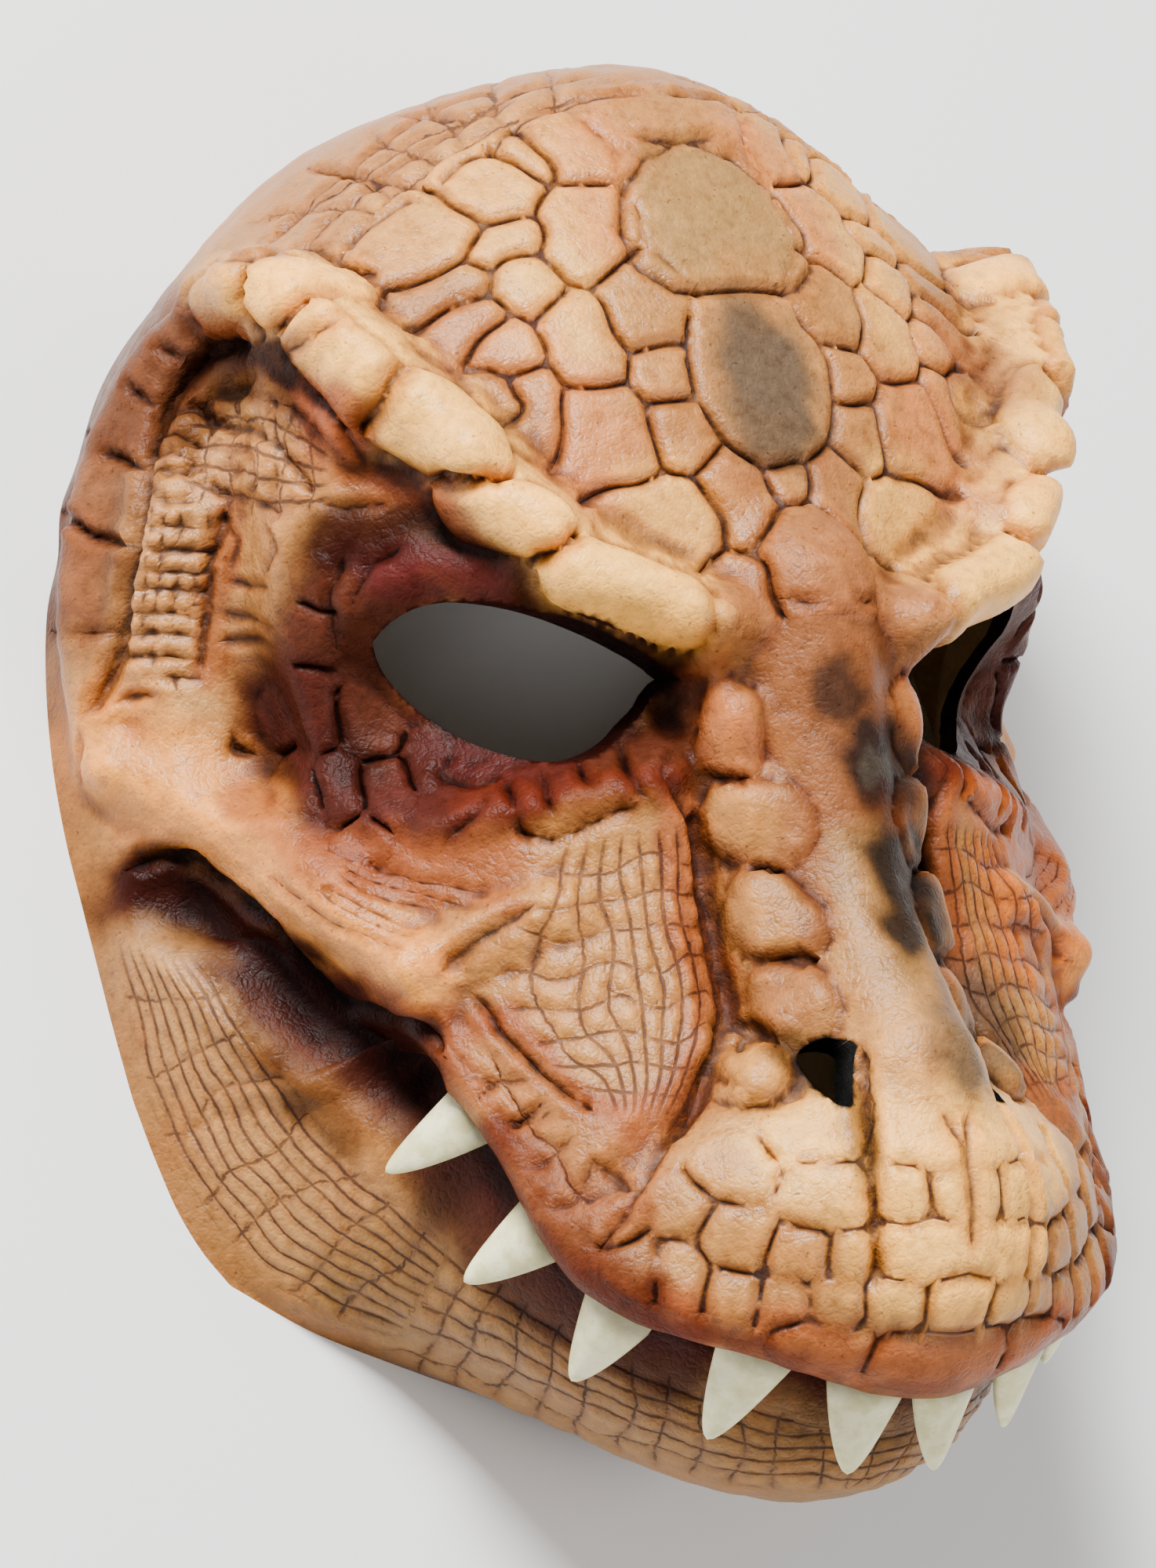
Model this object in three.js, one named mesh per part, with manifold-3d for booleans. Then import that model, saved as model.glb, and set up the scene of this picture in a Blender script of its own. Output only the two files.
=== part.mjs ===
// A reptile half mask of cast latex, lying face up on its rim, with ten cast teeth along the upper lip.
// Millimetres. The rim lies in the plane Z = 0, the face looks along +Z, and +Y runs from chin to crown.
import * as THREE from 'three';
import { mergeVertices } from 'three/addons/utils/BufferGeometryUtils.js';
import Module from 'manifold-3d';

// Driving sizes of the shell
const WALL = 3.2; // thickness of the latex
const ROW_STEP = 5.3; // spacing of the rows of vertices, crown to chin
const COLUMN_STEP = 5.1; // spacing of the columns of vertices, rim to rim
const RIM_FADE = 10; // height over the rim in which the carving dies away
const GROOVE_DEPTH = 1.3; // depth of the grooves between the large scales
const SCALE_RISE = 0.7; // how far the middle of a large scale stands up
const SEAT_GAP = 0.3; // clearance between a tooth and its seat
const STEEP_FORM = 4.5; // forms higher or deeper than this have vertices along their middle line
const CENTRE_SHIFT = 4.04; // moves the finished mask along Y, so that its middle lies at Y = 0

// Station rows of the right half, each from the rim to the middle of the face: x, y, z.
// The rows run from crown to chin, and the shell is a smooth loft through them.
const UPPER_STATIONS = [
  [[72.5, 70, 0], [63.5, 85.5, 0], [51, 98.5, 0], [36, 108.5, 0], [18, 114.5, 0], [0, 116, 0]],
  [[76.5, 63.5, 0], [72.5, 80, 20], [59.5, 97, 32], [43, 109.5, 40], [21, 116, 46], [0, 117, 51]],
  [[79, 55, 0], [78, 70, 26], [65.5, 87, 47], [44, 99, 62], [22, 107, 72], [0, 110, 75.5]],
  [[83, 46, 0], [83, 57, 30], [68.5, 73, 59.5], [43, 83, 75], [21, 87.5, 83.5], [0, 88.5, 86.5]],
  [[86, 34, 0], [85, 43, 32], [70, 52, 64], [44, 60, 82], [21, 62, 89.5], [0, 63, 91.5]],
  [[88, 20, 0], [82, 26, 28], [69, 30, 60], [44, 36, 83], [21, 38, 91], [0, 38, 93.5]],
  [[88.5, 7, 0], [77.5, 9, 25], [64.5, 9, 52], [43, 10, 77], [20, 11, 88], [0, 11, 93]],
  [[88, -5, 0], [78, -6, 23], [63, -9, 50], [41, -13, 72], [20, -14, 84], [0, -13, 88]],
  [[87.5, -15, 0], [81, -18, 24], [63, -24, 50], [41, -35, 70], [20, -37, 80], [0, -37, 86]],
  [[87, -25, 0], [79, -29, 21], [61, -36, 49], [45, -57, 69], [22, -58, 80], [0, -61, 92]],
  [[86.5, -32, 0], [77, -36, 20], [60, -45, 50], [49, -75, 67], [27, -83, 87], [0, -85, 101.5]],
  [[86, -38, 0], [75, -41, 19], [60, -50, 50], [50, -87, 63.5], [27, -101, 82], [0, -107, 92.5]],
  [[85.5, -41, 0], [74, -44, 18], [59, -54, 50], [48.5, -92, 60], [29, -107, 72.5], [0, -117, 75]],
];
const LOWER_STATIONS = [
  [[85, -44, 0], [73, -46, 16], [55, -57, 43], [43.5, -91, 53], [25, -104, 66], [0, -112, 68]],
  [[84, -49, 0], [73, -55, 11], [58, -68, 28], [42, -97, 45], [23, -111, 59], [0, -117, 61]],
  [[82, -57, 0], [70, -66, 7], [56, -79, 18], [39, -102, 34], [21, -118, 46], [0, -124, 50]],
  [[79, -64, 0], [66, -74, 4], [51, -84, 9], [32, -100, 17], [16, -113, 25], [0, -118, 28]],
  [[75, -70, 0], [62, -78, 0], [48, -84, 0], [32, -90, 0], [16, -95, 0], [0, -98, 0]],
];

// Swellings and hollows of the right half. Each follows a path over the skin and rises or sinks by height at
// the path, dying away at reach.
const FORMS = [
  { name: 'brow arch', height: 6, reach: 11,
    path: [[18, 8, 88], [32, 16, 85], [46, 31, 82], [54, 47, 78], [62, 62, 71], [66, 75, 60]] },
  { name: 'rim band', height: 4, reach: 9,
    path: [[67, 77, 57], [69, 80, 45], [75, 74, 32], [81, 64, 23], [85, 50, 17], [88, 16, 11]] },
  { name: 'first brow knob', path: [[19, 8, 88], [28, 14, 86], [38, 18, 83]], height: 6, reach: 9 },
  { name: 'second brow knob', path: [[42, 27, 83], [50, 38, 80]], height: 5.5, reach: 9.5 },
  { name: 'third brow knob', path: [[52, 44, 80], [57, 52, 76]], height: 3.5, reach: 9 },
  { name: 'fourth brow knob', path: [[62, 52, 70], [61, 61, 73], [65, 70, 65]], height: 4.5, reach: 10 },
  { name: 'fifth brow knob', path: [[64, 79, 61], [69, 82, 47]], height: 3, reach: 8.5 },
  { name: 'upper lid', path: [[47, 21, 78], [59, 26, 72], [68, 23, 63]], height: 3, reach: 7 },
  { name: 'eye socket', path: [[31, 0, 80], [48, 1, 73], [65, 5, 60]], height: -10, reach: 19 },
  { name: 'temple', path: [[75, 66, 46], [79, 47, 48], [78, 28, 38], [73, 8, 35]], height: -8, reach: 14 },
  { name: 'temple mound', path: [[77, 49, 54]], height: 3, reach: 8 },
  { name: 'cheekbone', height: 4.8, reach: 9.5,
    path: [[85, 12, 15], [81, 3, 25], [75, -6, 37], [70, -18, 43], [63, -30, 46.5], [60, -38, 48.5]] },
  { name: 'cheek lobe', path: [[62, -33, 50], [59, -40, 50]], height: 1, reach: 8 },
  { name: 'cheek fold', path: [[60, -34, 52], [51, -32, 62], [44, -31, 69]], height: 3, reach: 7 },
  { name: 'jaw hollow', height: -10, reach: 12,
    path: [[84, -10, 19], [77, -24, 27], [70, -38, 33], [61, -51, 40]] },
  { name: 'lower lid fold', height: 3.5, reach: 7,
    path: [[25, -11, 83], [33, -13, 79], [41, -13, 74], [50, -13, 68], [60, -13, 60]] },
  { name: 'snout groove', height: -4, reach: 6.5,
    path: [[24, 2, 86], [22, -11, 84], [21, -22, 82], [22, -40, 79], [23, -56, 80]] },
  { name: 'muzzle groove', path: [[24, -59, 81], [34, -68, 78], [48, -78, 71]], height: -2.5, reach: 6 },
  { name: 'snout ridge', height: 8, reach: 17,
    path: [[0, 14, 93], [0, -10, 89], [0, -40, 87], [0, -66, 94]] },
  { name: 'first flank knob', path: [[17, -6, 86]], height: 3.5, reach: 8 },
  { name: 'second flank knob', path: [[16, -20, 84]], height: 3, reach: 8 },
  { name: 'third flank knob', path: [[15, -36, 82], [15, -44, 82]], height: 3.5, reach: 8 },
  { name: 'fourth flank knob', path: [[14, -55, 85]], height: 3, reach: 7 },
  { name: 'nostril flap', path: [[21, -61, 84], [26, -67, 84]], height: 2.5, reach: 6 },
  { name: 'lip roll', height: 2, reach: 8,
    path: [[61, -50, 51], [58, -70, 56], [50, -88, 63], [39, -100, 71], [27, -107, 77], [0, -115, 80]] },
];

// Large scales of the right half: x and y of the middle, and radius. Their shared edges are carved grooves.
const FOREHEAD_SCALES = [
  [0, 79, 14], [0, 50, 14], [0, 20, 9], [0, 102, 10],
  [24, 79, 9], [23, 95, 9], [19, 63, 9], [31, 57, 9], [36, 70, 8], [17, 51, 5], [31, 42, 10], [17, 40, 6],
  [22, 26, 9], [10, 29, 5], [41, 48, 8], [43, 58, 7], [48, 68, 9], [37, 79, 7], [35, 89, 8], [12, 13, 5],
  [49, 80, 8], [48, 91, 7], [36, 101, 7], [14, 108, 8],
];

// Rows of squarish scales over the tip of the muzzle: y of the row, its half width, and scales in the row
const MUZZLE_ROWS = [
  { y: -80, half: 20, count: 4 },
  { y: -90, half: 33, count: 5 },
  { y: -99, half: 36, count: 7 },
  { y: -108, half: 30, count: 6 },
];
const MUZZLE_SCALE = 5; // radius of a muzzle scale

// Openings: the eye hole's outline as seen along its own line of sight, which leans towards the chin, and
// the nostril as an oval with a tail
const EYE_HOLE = {
  inner: [20.2, 3.1],
  outer: [60.9, 10.2],
  upper: [[24.4, 7.6], [60, 26.8]],
  lower: [[37.3, -22], [48.4, -8.9]],
};
const EYE_LEAN = 0.364; // how far the line of sight moves towards the chin for each millimetre that it rises
const EYE_LEVEL = 80; // height at which the outline has the places above
const EYE_DEPTH = [30, 120]; // heights between which the eye holes are cut
const NOSTRIL_DEPTH = [70, 120];
const NOSTRIL = { front: [14, -64.5], back: [14.8, -73], frontRadius: 3.2, backRadius: 1.4 };

// Teeth of the right half, from the middle of the muzzle outwards.
// Column of the root on the lip, tip, width along the lip, depth across it.
const TEETH = [
  { column: 4.73, tip: [8.3, -125.5, 62], width: 13, depth: 8 },
  { column: 4.07, tip: [28.5, -116.5, 55], width: 12.5, depth: 8 },
  { column: 3.2, tip: [45.5, -103, 46], width: 11.5, depth: 7.5 },
  { column: 2.66, tip: [59, -84.5, 42], width: 11, depth: 7 },
  { column: 2.12, tip: [66, -64, 37], width: 10.5, depth: 7 },
];
const TOOTH_SIDES = 9;
const TOOTH_ROOT = 1.6; // length of the root inside its seat

const SKIN_FINISH = new THREE.MeshStandardMaterial({ color: 0xb98b5e, roughness: 0.55, metalness: 0 });
const TOOTH_COLOUR = 0xdcdcb4;

// Cubic through four numbers, at t between the second and the third
function cubic(a, b, c, d, t) {
  const bend = 2 * a - 5 * b + 4 * c - d + (3 * b - a - 3 * c + d) * t;
  return b + 0.5 * t * (c - a + t * bend);
}

// A station list continued past both of its ends
function stationAt(list, index, fold) {
  if (index >= 0 && index < list.length) return list[index];
  if (index < 0) return fold(list[0], list[1]);
  return fold(list[list.length - 1], list[list.length - 2]);
}

const reflectPoint = (end, inner) => end.map((value, axis) => 2 * value - inner[axis]);
const mirrorPoint = (end, inner) => [-inner[0], inner[1], inner[2]];

// Point on one station row at column u, 0 on the rim and 5 in the middle
function pointOnRow(row, u) {
  const cell = Math.min(Math.floor(u), row.length - 2);
  const t = u - cell;
  const before = cell === 0 ? reflectPoint(row[0], row[1]) : row[cell - 1];
  const after = cell + 2 < row.length ? row[cell + 2] : mirrorPoint(row[cell + 1], row[cell]);
  return [0, 1, 2].map((axis) => cubic(before[axis], row[cell][axis], row[cell + 1][axis], after[axis], t));
}

// Point of a block of station rows at row v and column u
function pointOnBlock(block, v, u) {
  const cell = Math.min(Math.floor(v), block.length - 2);
  const t = v - cell;
  const fold = (end, inner) => end.map((point, column) => reflectPoint(point, inner[column]));
  const rows = [cell - 1, cell, cell + 1, cell + 2].map((index) => stationAt(block, index, fold));
  const four = rows.map((row) => pointOnRow(row, u));
  return [0, 1, 2].map((axis) => cubic(...four.map((point) => point[axis]), t));
}

const distance = (a, b) => Math.hypot(a[0] - b[0], a[1] - b[1], a[2] - b[2]);

// Station positions spread evenly by the average length between neighbouring stations
function evenPositions(count, meanLength, step) {
  const lengths = [0];
  for (let i = 1; i < count; i += 1) lengths.push(lengths[i - 1] + meanLength(i - 1, i));
  const total = lengths[count - 1];
  const pieces = 2 * Math.round(total / step / 2);
  const positions = [];
  for (let k = 0; k <= pieces; k += 1) {
    const target = (total * k) / pieces;
    let i = 0;
    while (i < count - 2 && lengths[i + 1] < target) i += 1;
    positions.push(i + (target - lengths[i]) / (lengths[i + 1] - lengths[i]));
  }
  positions[pieces] = count - 1;
  return positions;
}

const mean = (values) => values.reduce((sum, value) => sum + value, 0) / values.length;
const rowGap = (block) => (i, j) => mean(block[i].map((point, column) => distance(point, block[j][column])));
const allStations = [...UPPER_STATIONS, ...LOWER_STATIONS];
const columnGap = (i, j) => mean(allStations.map((row) => distance(row[i], row[j])));

const subtract = (a, b) => [a[0] - b[0], a[1] - b[1], a[2] - b[2]];
const along = (a, direction, length) => a.map((value, axis) => value + direction[axis] * length);
const dot = (a, b) => a[0] * b[0] + a[1] * b[1] + a[2] * b[2];
const cross = (a, b) => [a[1] * b[2] - a[2] * b[1], a[2] * b[0] - a[0] * b[2], a[0] * b[1] - a[1] * b[0]];
const unit = (a) => a.map((value) => value / Math.hypot(...a));
const middle = (a, b) => a.map((value, axis) => (value + b[axis]) / 2);
const clamp = (value) => Math.min(1, Math.max(0, value));

// Point of a path of straight steps that lies nearest to a point
function nearestOnPath(point, path) {
  let best = path[0];
  for (let i = 1; i < path.length; i += 1) {
    const step = subtract(path[i], path[i - 1]);
    const t = clamp(dot(subtract(point, path[i - 1]), step) / dot(step, step));
    const place = along(path[i - 1], step, t);
    if (distance(point, place) < distance(point, best)) best = place;
  }
  return best;
}

// Height of the carved forms at a point of the loft
function formHeight(point) {
  const half = [Math.abs(point[0]), point[1], point[2]];
  let height = 0;
  for (const form of FORMS) {
    const q = distance(half, nearestOnPath(half, form.path)) / form.reach;
    if (q < 1) height += form.height * (1 - q * q) ** 2;
  }
  const fade = clamp(point[2] / RIM_FADE);
  return height * fade * fade * (3 - 2 * fade);
}

// The rows of the whole shell as points of the loft, mirrored about X = 0
const columns = evenPositions(UPPER_STATIONS[0].length, columnGap, COLUMN_STEP);
const upperRows = evenPositions(UPPER_STATIONS.length, rowGap(UPPER_STATIONS), ROW_STEP);
const lowerRows = evenPositions(LOWER_STATIONS.length, rowGap(LOWER_STATIONS), ROW_STEP);
const rowPlaces = [
  ...upperRows.map((v) => [UPPER_STATIONS, v]),
  ...lowerRows.map((v) => [LOWER_STATIONS, v]),
];
function wholeRow([block, v]) {
  const right = columns.map((u) => pointOnBlock(block, v, u));
  const left = right.slice(0, -1).reverse().map((point) => [-point[0], point[1], point[2]]);
  return [...right, ...left];
}
const loft = rowPlaces.map(wholeRow);
const rowCount = loft.length;
const columnCount = loft[0].length;
const onRim = (i, j) => i === 0 || j === 0 || i === rowCount - 1 || j === columnCount - 1;

// Outward direction at a vertex of a grid of points: square to the grid, and turned level towards the rim
function outward(grid, i, j) {
  const up = grid[Math.max(i - 1, 0)][j];
  const down = grid[Math.min(i + 1, rowCount - 1)][j];
  const right = grid[i][Math.max(j - 1, 0)];
  const left = grid[i][Math.min(j + 1, columnCount - 1)];
  const acrossRow = subtract(left, right);
  const downColumn = subtract(down, up);
  const square = cross(acrossRow, downColumn);
  if (!onRim(i, j)) return unit([square[0], square[1], square[2] * clamp(grid[i][j][2] / RIM_FADE)]);
  const [onEnd, onSide] = [i === 0 || i === rowCount - 1, j === 0 || j === columnCount - 1];
  const turn = (i === 0) === (j === 0) ? 1 : -1;
  const corner = along(acrossRow, downColumn, -turn);
  const tangent = onEnd && onSide ? corner : (onEnd && acrossRow) || downColumn;
  const level = unit([tangent[1], -tangent[0], 0]);
  return dot(level, grid[i][j]) < 0 ? level.map((value) => -value) : level;
}

// Seeds of the large scales on the loft: the nearest loft point in plan carries each one
function seedAt([x, y, radius]) {
  let best = loft[0][0];
  for (const point of loft.flat()) {
    const nearer = Math.hypot(point[0] - x, point[1] - y) < Math.hypot(best[0] - x, best[1] - y);
    if (point[2] > 40 && (best[2] <= 40 || nearer)) best = point;
  }
  return { place: [x, y, best[2]], radius };
}
function muzzleSeeds() {
  const seeds = [];
  for (const { y, half, count } of MUZZLE_ROWS) {
    for (let k = 0; k < count; k += 1) {
      const x = half * ((2 * k) / (count - 1) - 1);
      if (x >= -0.01) seeds.push([x, y + (x / half) ** 2 * half * 0.35, MUZZLE_SCALE]);
    }
  }
  return seeds;
}
const seeds = [...FOREHEAD_SCALES, ...muzzleSeeds()].map(seedAt);
const SCALE_SPREAD = 1.5; // a scale reaches this many radii from its middle

// Where the nearest groove between two scales is: the step to it along the skin, and whether a scale is near
function grooveStep(point) {
  const half = [Math.abs(point[0]), point[1], point[2]];
  const ranked = seeds
    .map((seed) => ({ seed, power: distance(half, seed.place) ** 2 - seed.radius ** 2 }))
    .sort((a, b) => a.power - b.power);
  const [first, second] = ranked;
  const near = distance(half, first.seed.place) < first.seed.radius * SCALE_SPREAD;
  const span = subtract(second.seed.place, first.seed.place);
  const length = Math.hypot(...span);
  const away = (second.power - first.power) / (2 * length);
  const side = point[0] < 0 ? -1 : 1;
  const step = [side * span[0], span[1], span[2]].map((value) => (value / length) * away);
  return { near, away, step };
}

// How deep or high the skin stands at a distance from the nearest groove
const SNAP = 0.45 * COLUMN_STEP; // a vertex nearer than this to a groove or a ridge is drawn onto it
const scaleHeight = (away) => (GROOVE_DEPTH + SCALE_RISE) * clamp(away / (2 * SNAP)) - GROOVE_DEPTH;

// Step from a point to the middle line of a ridge or hollow that passes close by
function ridgeStep(point) {
  const side = point[0] < 0 ? -1 : 1;
  const half = [Math.abs(point[0]), point[1], point[2]];
  for (const { path, height } of FORMS) {
    const nearest = nearestOnPath(half, path);
    const step = subtract(nearest, half);
    if (path.length > 1 && Math.abs(height) > STEEP_FORM && Math.hypot(...step) < SNAP) {
      return [side * step[0], step[1], step[2]];
    }
  }
  return [0, 0, 0];
}

// Outer face: the loft with its forms, scales and grooves, and the height that these add at each vertex
const lipRow = upperRows.length - 1;
const formHeights = [];
const outerHeights = [];
function outerPoint(i, j) {
  const normal = outward(loft, i, j);
  const groove = grooveStep(loft[i][j]);
  const scaled = groove.near && i < lipRow - 1;
  const step = scaled && groove.away < SNAP ? groove.step : ridgeStep(loft[i][j]);
  const flat = onRim(i, j) ? [0, 0, 0] : along(step, normal, -dot(step, normal));
  const point = along(loft[i][j], flat, 1);
  const away = groove.away < SNAP ? 0 : groove.away;
  const formed = formHeight(point);
  const height = formed + (scaled ? scaleHeight(away) : 0);
  formHeights.push(formed);
  outerHeights.push(height);
  return along(point, normal, height);
}
function outerHeightAt(point, i) {
  const groove = grooveStep(point);
  return formHeight(point) + (groove.near && i < lipRow - 1 ? scaleHeight(groove.away) : 0);
}

// Inner face: the loft without the edge of the lip, on every second row and column
const innerRows = [
  ...upperRows.map((v, i) => i).filter((i) => i % 2 === 0 && i < lipRow),
  ...lowerRows.map((v, i) => i).filter((i) => i % 2 === 0).map((i) => i + lipRow + 1),
];
const innerColumns = loft[0].map((point, j) => j).filter((j) => j % 2 === 0);
const LOWEST = -50; // folds of the inner face keep as low as they can
const INNER_CLIMB = 0.8; // how steeply the inner face may climb out of a hollow into a knob
const INNER_WINDOW = 2; // rows and columns to each side that hold it down
const INNER_SMOOTHINGS = 3; // times that a vertex goes down to the mean of its neighbours

// The highest that the inner face may stand at a vertex: one wall thickness below the forms
function innerLimit(i, j) {
  let limit = Infinity;
  for (let k = Math.max(i - INNER_WINDOW, 0); k <= Math.min(i + INNER_WINDOW, rowCount - 1); k += 1) {
    for (let m = Math.max(j - INNER_WINDOW, 0); m <= Math.min(j + INNER_WINDOW, columnCount - 1); m += 1) {
      const climb = INNER_CLIMB * distance(loft[i][j], loft[k][m]);
      limit = Math.min(limit, formHeights[k * columnCount + m] + climb);
    }
  }
  return limit - WALL;
}

// Heights of the inner vertices. Where the flat patch between four of them would stand over a limit, each of
// the four goes down by that much.
function innerFaceHeights() {
  const limits = loft.map((row, i) => row.map((point, j) => innerLimit(i, j)));
  const wanted = innerRows.flatMap((i) => innerColumns.map((j) => limits[i][j]));
  const lowering = wanted.map(() => 0);
  const width = innerColumns.length;
  for (let a = 0; a + 1 < innerRows.length; a += 1) {
    for (let b = 0; b + 1 < width; b += 1) {
      const patch = [a * width + b, a * width + b + 1, (a + 1) * width + b, (a + 1) * width + b + 1];
      for (let i = innerRows[a]; i <= innerRows[a + 1]; i += 1) {
        for (let j = innerColumns[b]; j <= innerColumns[b + 1]; j += 1) {
          const down = (i - innerRows[a]) / (innerRows[a + 1] - innerRows[a]);
          const across = (j - innerColumns[b]) / (innerColumns[b + 1] - innerColumns[b]);
          const shares = [(1 - down) * (1 - across), (1 - down) * across, down * (1 - across), down * across];
          const flat = patch.reduce((sum, corner, n) => sum + shares[n] * wanted[corner], 0);
          patch.forEach((corner, n) => {
            if (shares[n] > 0) lowering[corner] = Math.max(lowering[corner], flat - limits[i][j]);
          });
        }
      }
    }
  }
  let heights = wanted.map((height, n) => height - lowering[n]);
  for (let pass = 0; pass < INNER_SMOOTHINGS; pass += 1) {
    heights = heights.map((height, n) => {
      const [k, m] = [Math.floor(n / width), n % width];
      if (k === 0 || m === 0 || k === innerRows.length - 1 || m === width - 1) return height;
      const around = heights[n - width] + heights[n + width] + heights[n - 1] + heights[n + 1];
      return Math.min(height, around / 4);
    });
  }
  return heights;
}

// Triangles of a grid numbered row by row. Each square is folded along the diagonal that comes nearer to the
// height wanted at its middle.
function gridTriangles(gridRows, gridColumns, heights, heightAt) {
  const triangles = [];
  for (let k = 0; k + 1 < gridRows.length; k += 1) {
    for (let m = 0; m + 1 < gridColumns.length; m += 1) {
      const a = k * gridColumns.length + m;
      const [b, c, d] = [a + 1, a + gridColumns.length, a + gridColumns.length + 1];
      const [i, j] = [gridRows[k], gridColumns[m]];
      const centre = middle(loft[i][j], loft[gridRows[k + 1]][gridColumns[m + 1]]);
      const wanted = heightAt(centre, i);
      const missAD = Math.abs((heights[a] + heights[d]) / 2 - wanted);
      const missBC = Math.abs((heights[b] + heights[c]) / 2 - wanted);
      if (missAD < missBC) triangles.push([a, d, c], [a, b, d]);
      else triangles.push([a, b, c], [b, d, c]);
    }
  }
  return triangles;
}

// The flat rim between an outer and an inner edge. Each inner vertex sits beside the outer one it names.
function rimTriangles(outerEdge, innerEdge, beside) {
  const triangles = [];
  for (let k = 0; k + 1 < innerEdge.length; k += 1) {
    const half = Math.floor((beside[k] + beside[k + 1]) / 2);
    for (let m = beside[k]; m < beside[k + 1]; m += 1) {
      const corner = m < half ? innerEdge[k] : innerEdge[k + 1];
      triangles.push([outerEdge[m], outerEdge[m + 1], corner]);
    }
    triangles.push([innerEdge[k], outerEdge[half], innerEdge[k + 1]]);
  }
  return triangles;
}

// The uncut shell: outer face, inner face and the rim that joins them
function shellMesh() {
  const allRows = loft.map((row, i) => i);
  const allColumns = loft[0].map((point, j) => j);
  const outer = allRows.flatMap((i) => allColumns.map((j) => outerPoint(i, j)));
  const perInner = innerColumns.length;
  const innerHeights = innerFaceHeights();
  const innerPoint = (i, j, height) => along(loft[i][j], outward(loft, i, j), height);
  const inner = innerRows.flatMap((i, k) => (
    innerColumns.map((j, m) => innerPoint(i, j, innerHeights[k * perInner + m]))
  ));
  const outerIndex = (i, j) => i * columnCount + j;
  const innerIndex = (k, m) => outer.length + k * perInner + m;
  const triangles = gridTriangles(allRows, allColumns, outerHeights, outerHeightAt);
  const innerTriangles = gridTriangles(innerRows, innerColumns, innerHeights, () => LOWEST);
  const first = outer.length;
  triangles.push(...innerTriangles.map(([a, b, c]) => [a + first, c + first, b + first]));
  const [lastRow, lastColumn] = [rowCount - 1, columnCount - 1];
  const crown = rimTriangles(
    allColumns.map((j) => outerIndex(0, j)),
    innerColumns.map((j, m) => innerIndex(0, m)),
    innerColumns,
  );
  const chin = rimTriangles(
    allColumns.map((j) => outerIndex(lastRow, j)),
    innerColumns.map((j, m) => innerIndex(innerRows.length - 1, m)),
    innerColumns,
  );
  const rightSide = rimTriangles(
    allRows.map((i) => outerIndex(i, 0)),
    innerRows.map((i, k) => innerIndex(k, 0)),
    innerRows,
  );
  const leftSide = rimTriangles(
    allRows.map((i) => outerIndex(i, lastColumn)),
    innerRows.map((i, k) => innerIndex(k, perInner - 1)),
    innerRows,
  );
  const flipped = ([a, b, c]) => [a, c, b];
  triangles.push(...crown.map(flipped), ...chin, ...rightSide, ...leftSide.map(flipped));
  return { points: [...outer, ...inner], triangles };
}

const wasm = await Module();
wasm.setup();

// A closed body for joining and cutting
function solidOf({ points, triangles }) {
  return new wasm.Manifold(new wasm.Mesh({
    numProp: 3,
    vertProperties: new Float32Array(points.flat()),
    triVerts: new Uint32Array(triangles.flat()),
  }));
}
function solidOfGeometry(geometry) {
  geometry.deleteAttribute('normal');
  geometry.deleteAttribute('uv');
  const merged = mergeVertices(geometry, 1e-4);
  return new wasm.Manifold(new wasm.Mesh({
    numProp: 3,
    vertProperties: new Float32Array(merged.attributes.position.array),
    triVerts: new Uint32Array(merged.index.array),
  }));
}
function geometryOf(solid) {
  const { vertProperties, triVerts, numProp } = solid.getMesh();
  const geometry = new THREE.BufferGeometry();
  const positions = new Float32Array((vertProperties.length / numProp) * 3);
  for (let i = 0; i < positions.length / 3; i += 1) {
    positions.set(vertProperties.subarray(i * numProp, i * numProp + 3), i * 3);
  }
  geometry.setAttribute('position', new THREE.BufferAttribute(positions, 3));
  geometry.setIndex(new THREE.BufferAttribute(new Uint32Array(triVerts), 1));
  geometry.computeVertexNormals();
  return geometry;
}

// Cutters, along Z or leaning from it. side is 1 on the right half and -1 on the left.
const CUT_STEPS = 9; // straight steps along one curved edge of a cutter
function straightCut(shape, [bottom, top], lean, level) {
  const settings = { depth: top - bottom, bevelEnabled: false, curveSegments: CUT_STEPS };
  const prism = new THREE.ExtrudeGeometry(shape, settings).translate(0, 0, bottom - level);
  const leaning = new THREE.Matrix4().makeShear(0, 0, 0, 0, 0, -lean);
  return solidOfGeometry(prism.applyMatrix4(leaning).translate(0, 0, level));
}
function eyeCut(side) {
  const at = ([x, y]) => [side * x, y];
  const { inner, outer, upper, lower } = EYE_HOLE;
  const shape = new THREE.Shape();
  shape.moveTo(...at(inner));
  shape.bezierCurveTo(...at(upper[0]), ...at(upper[1]), ...at(outer));
  shape.bezierCurveTo(...at(lower[1]), ...at(lower[0]), ...at(inner));
  return straightCut(shape, EYE_DEPTH, EYE_LEAN, EYE_LEVEL);
}
function nostrilCut(side) {
  const { front, back, frontRadius, backRadius } = NOSTRIL;
  const shape = new THREE.Shape();
  shape.absarc(side * front[0], front[1], frontRadius, 0, Math.PI, false);
  shape.absarc(side * back[0], back[1], backRadius, Math.PI, 2 * Math.PI, false);
  return straightCut(shape, NOSTRIL_DEPTH, 0, 0);
}

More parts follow.
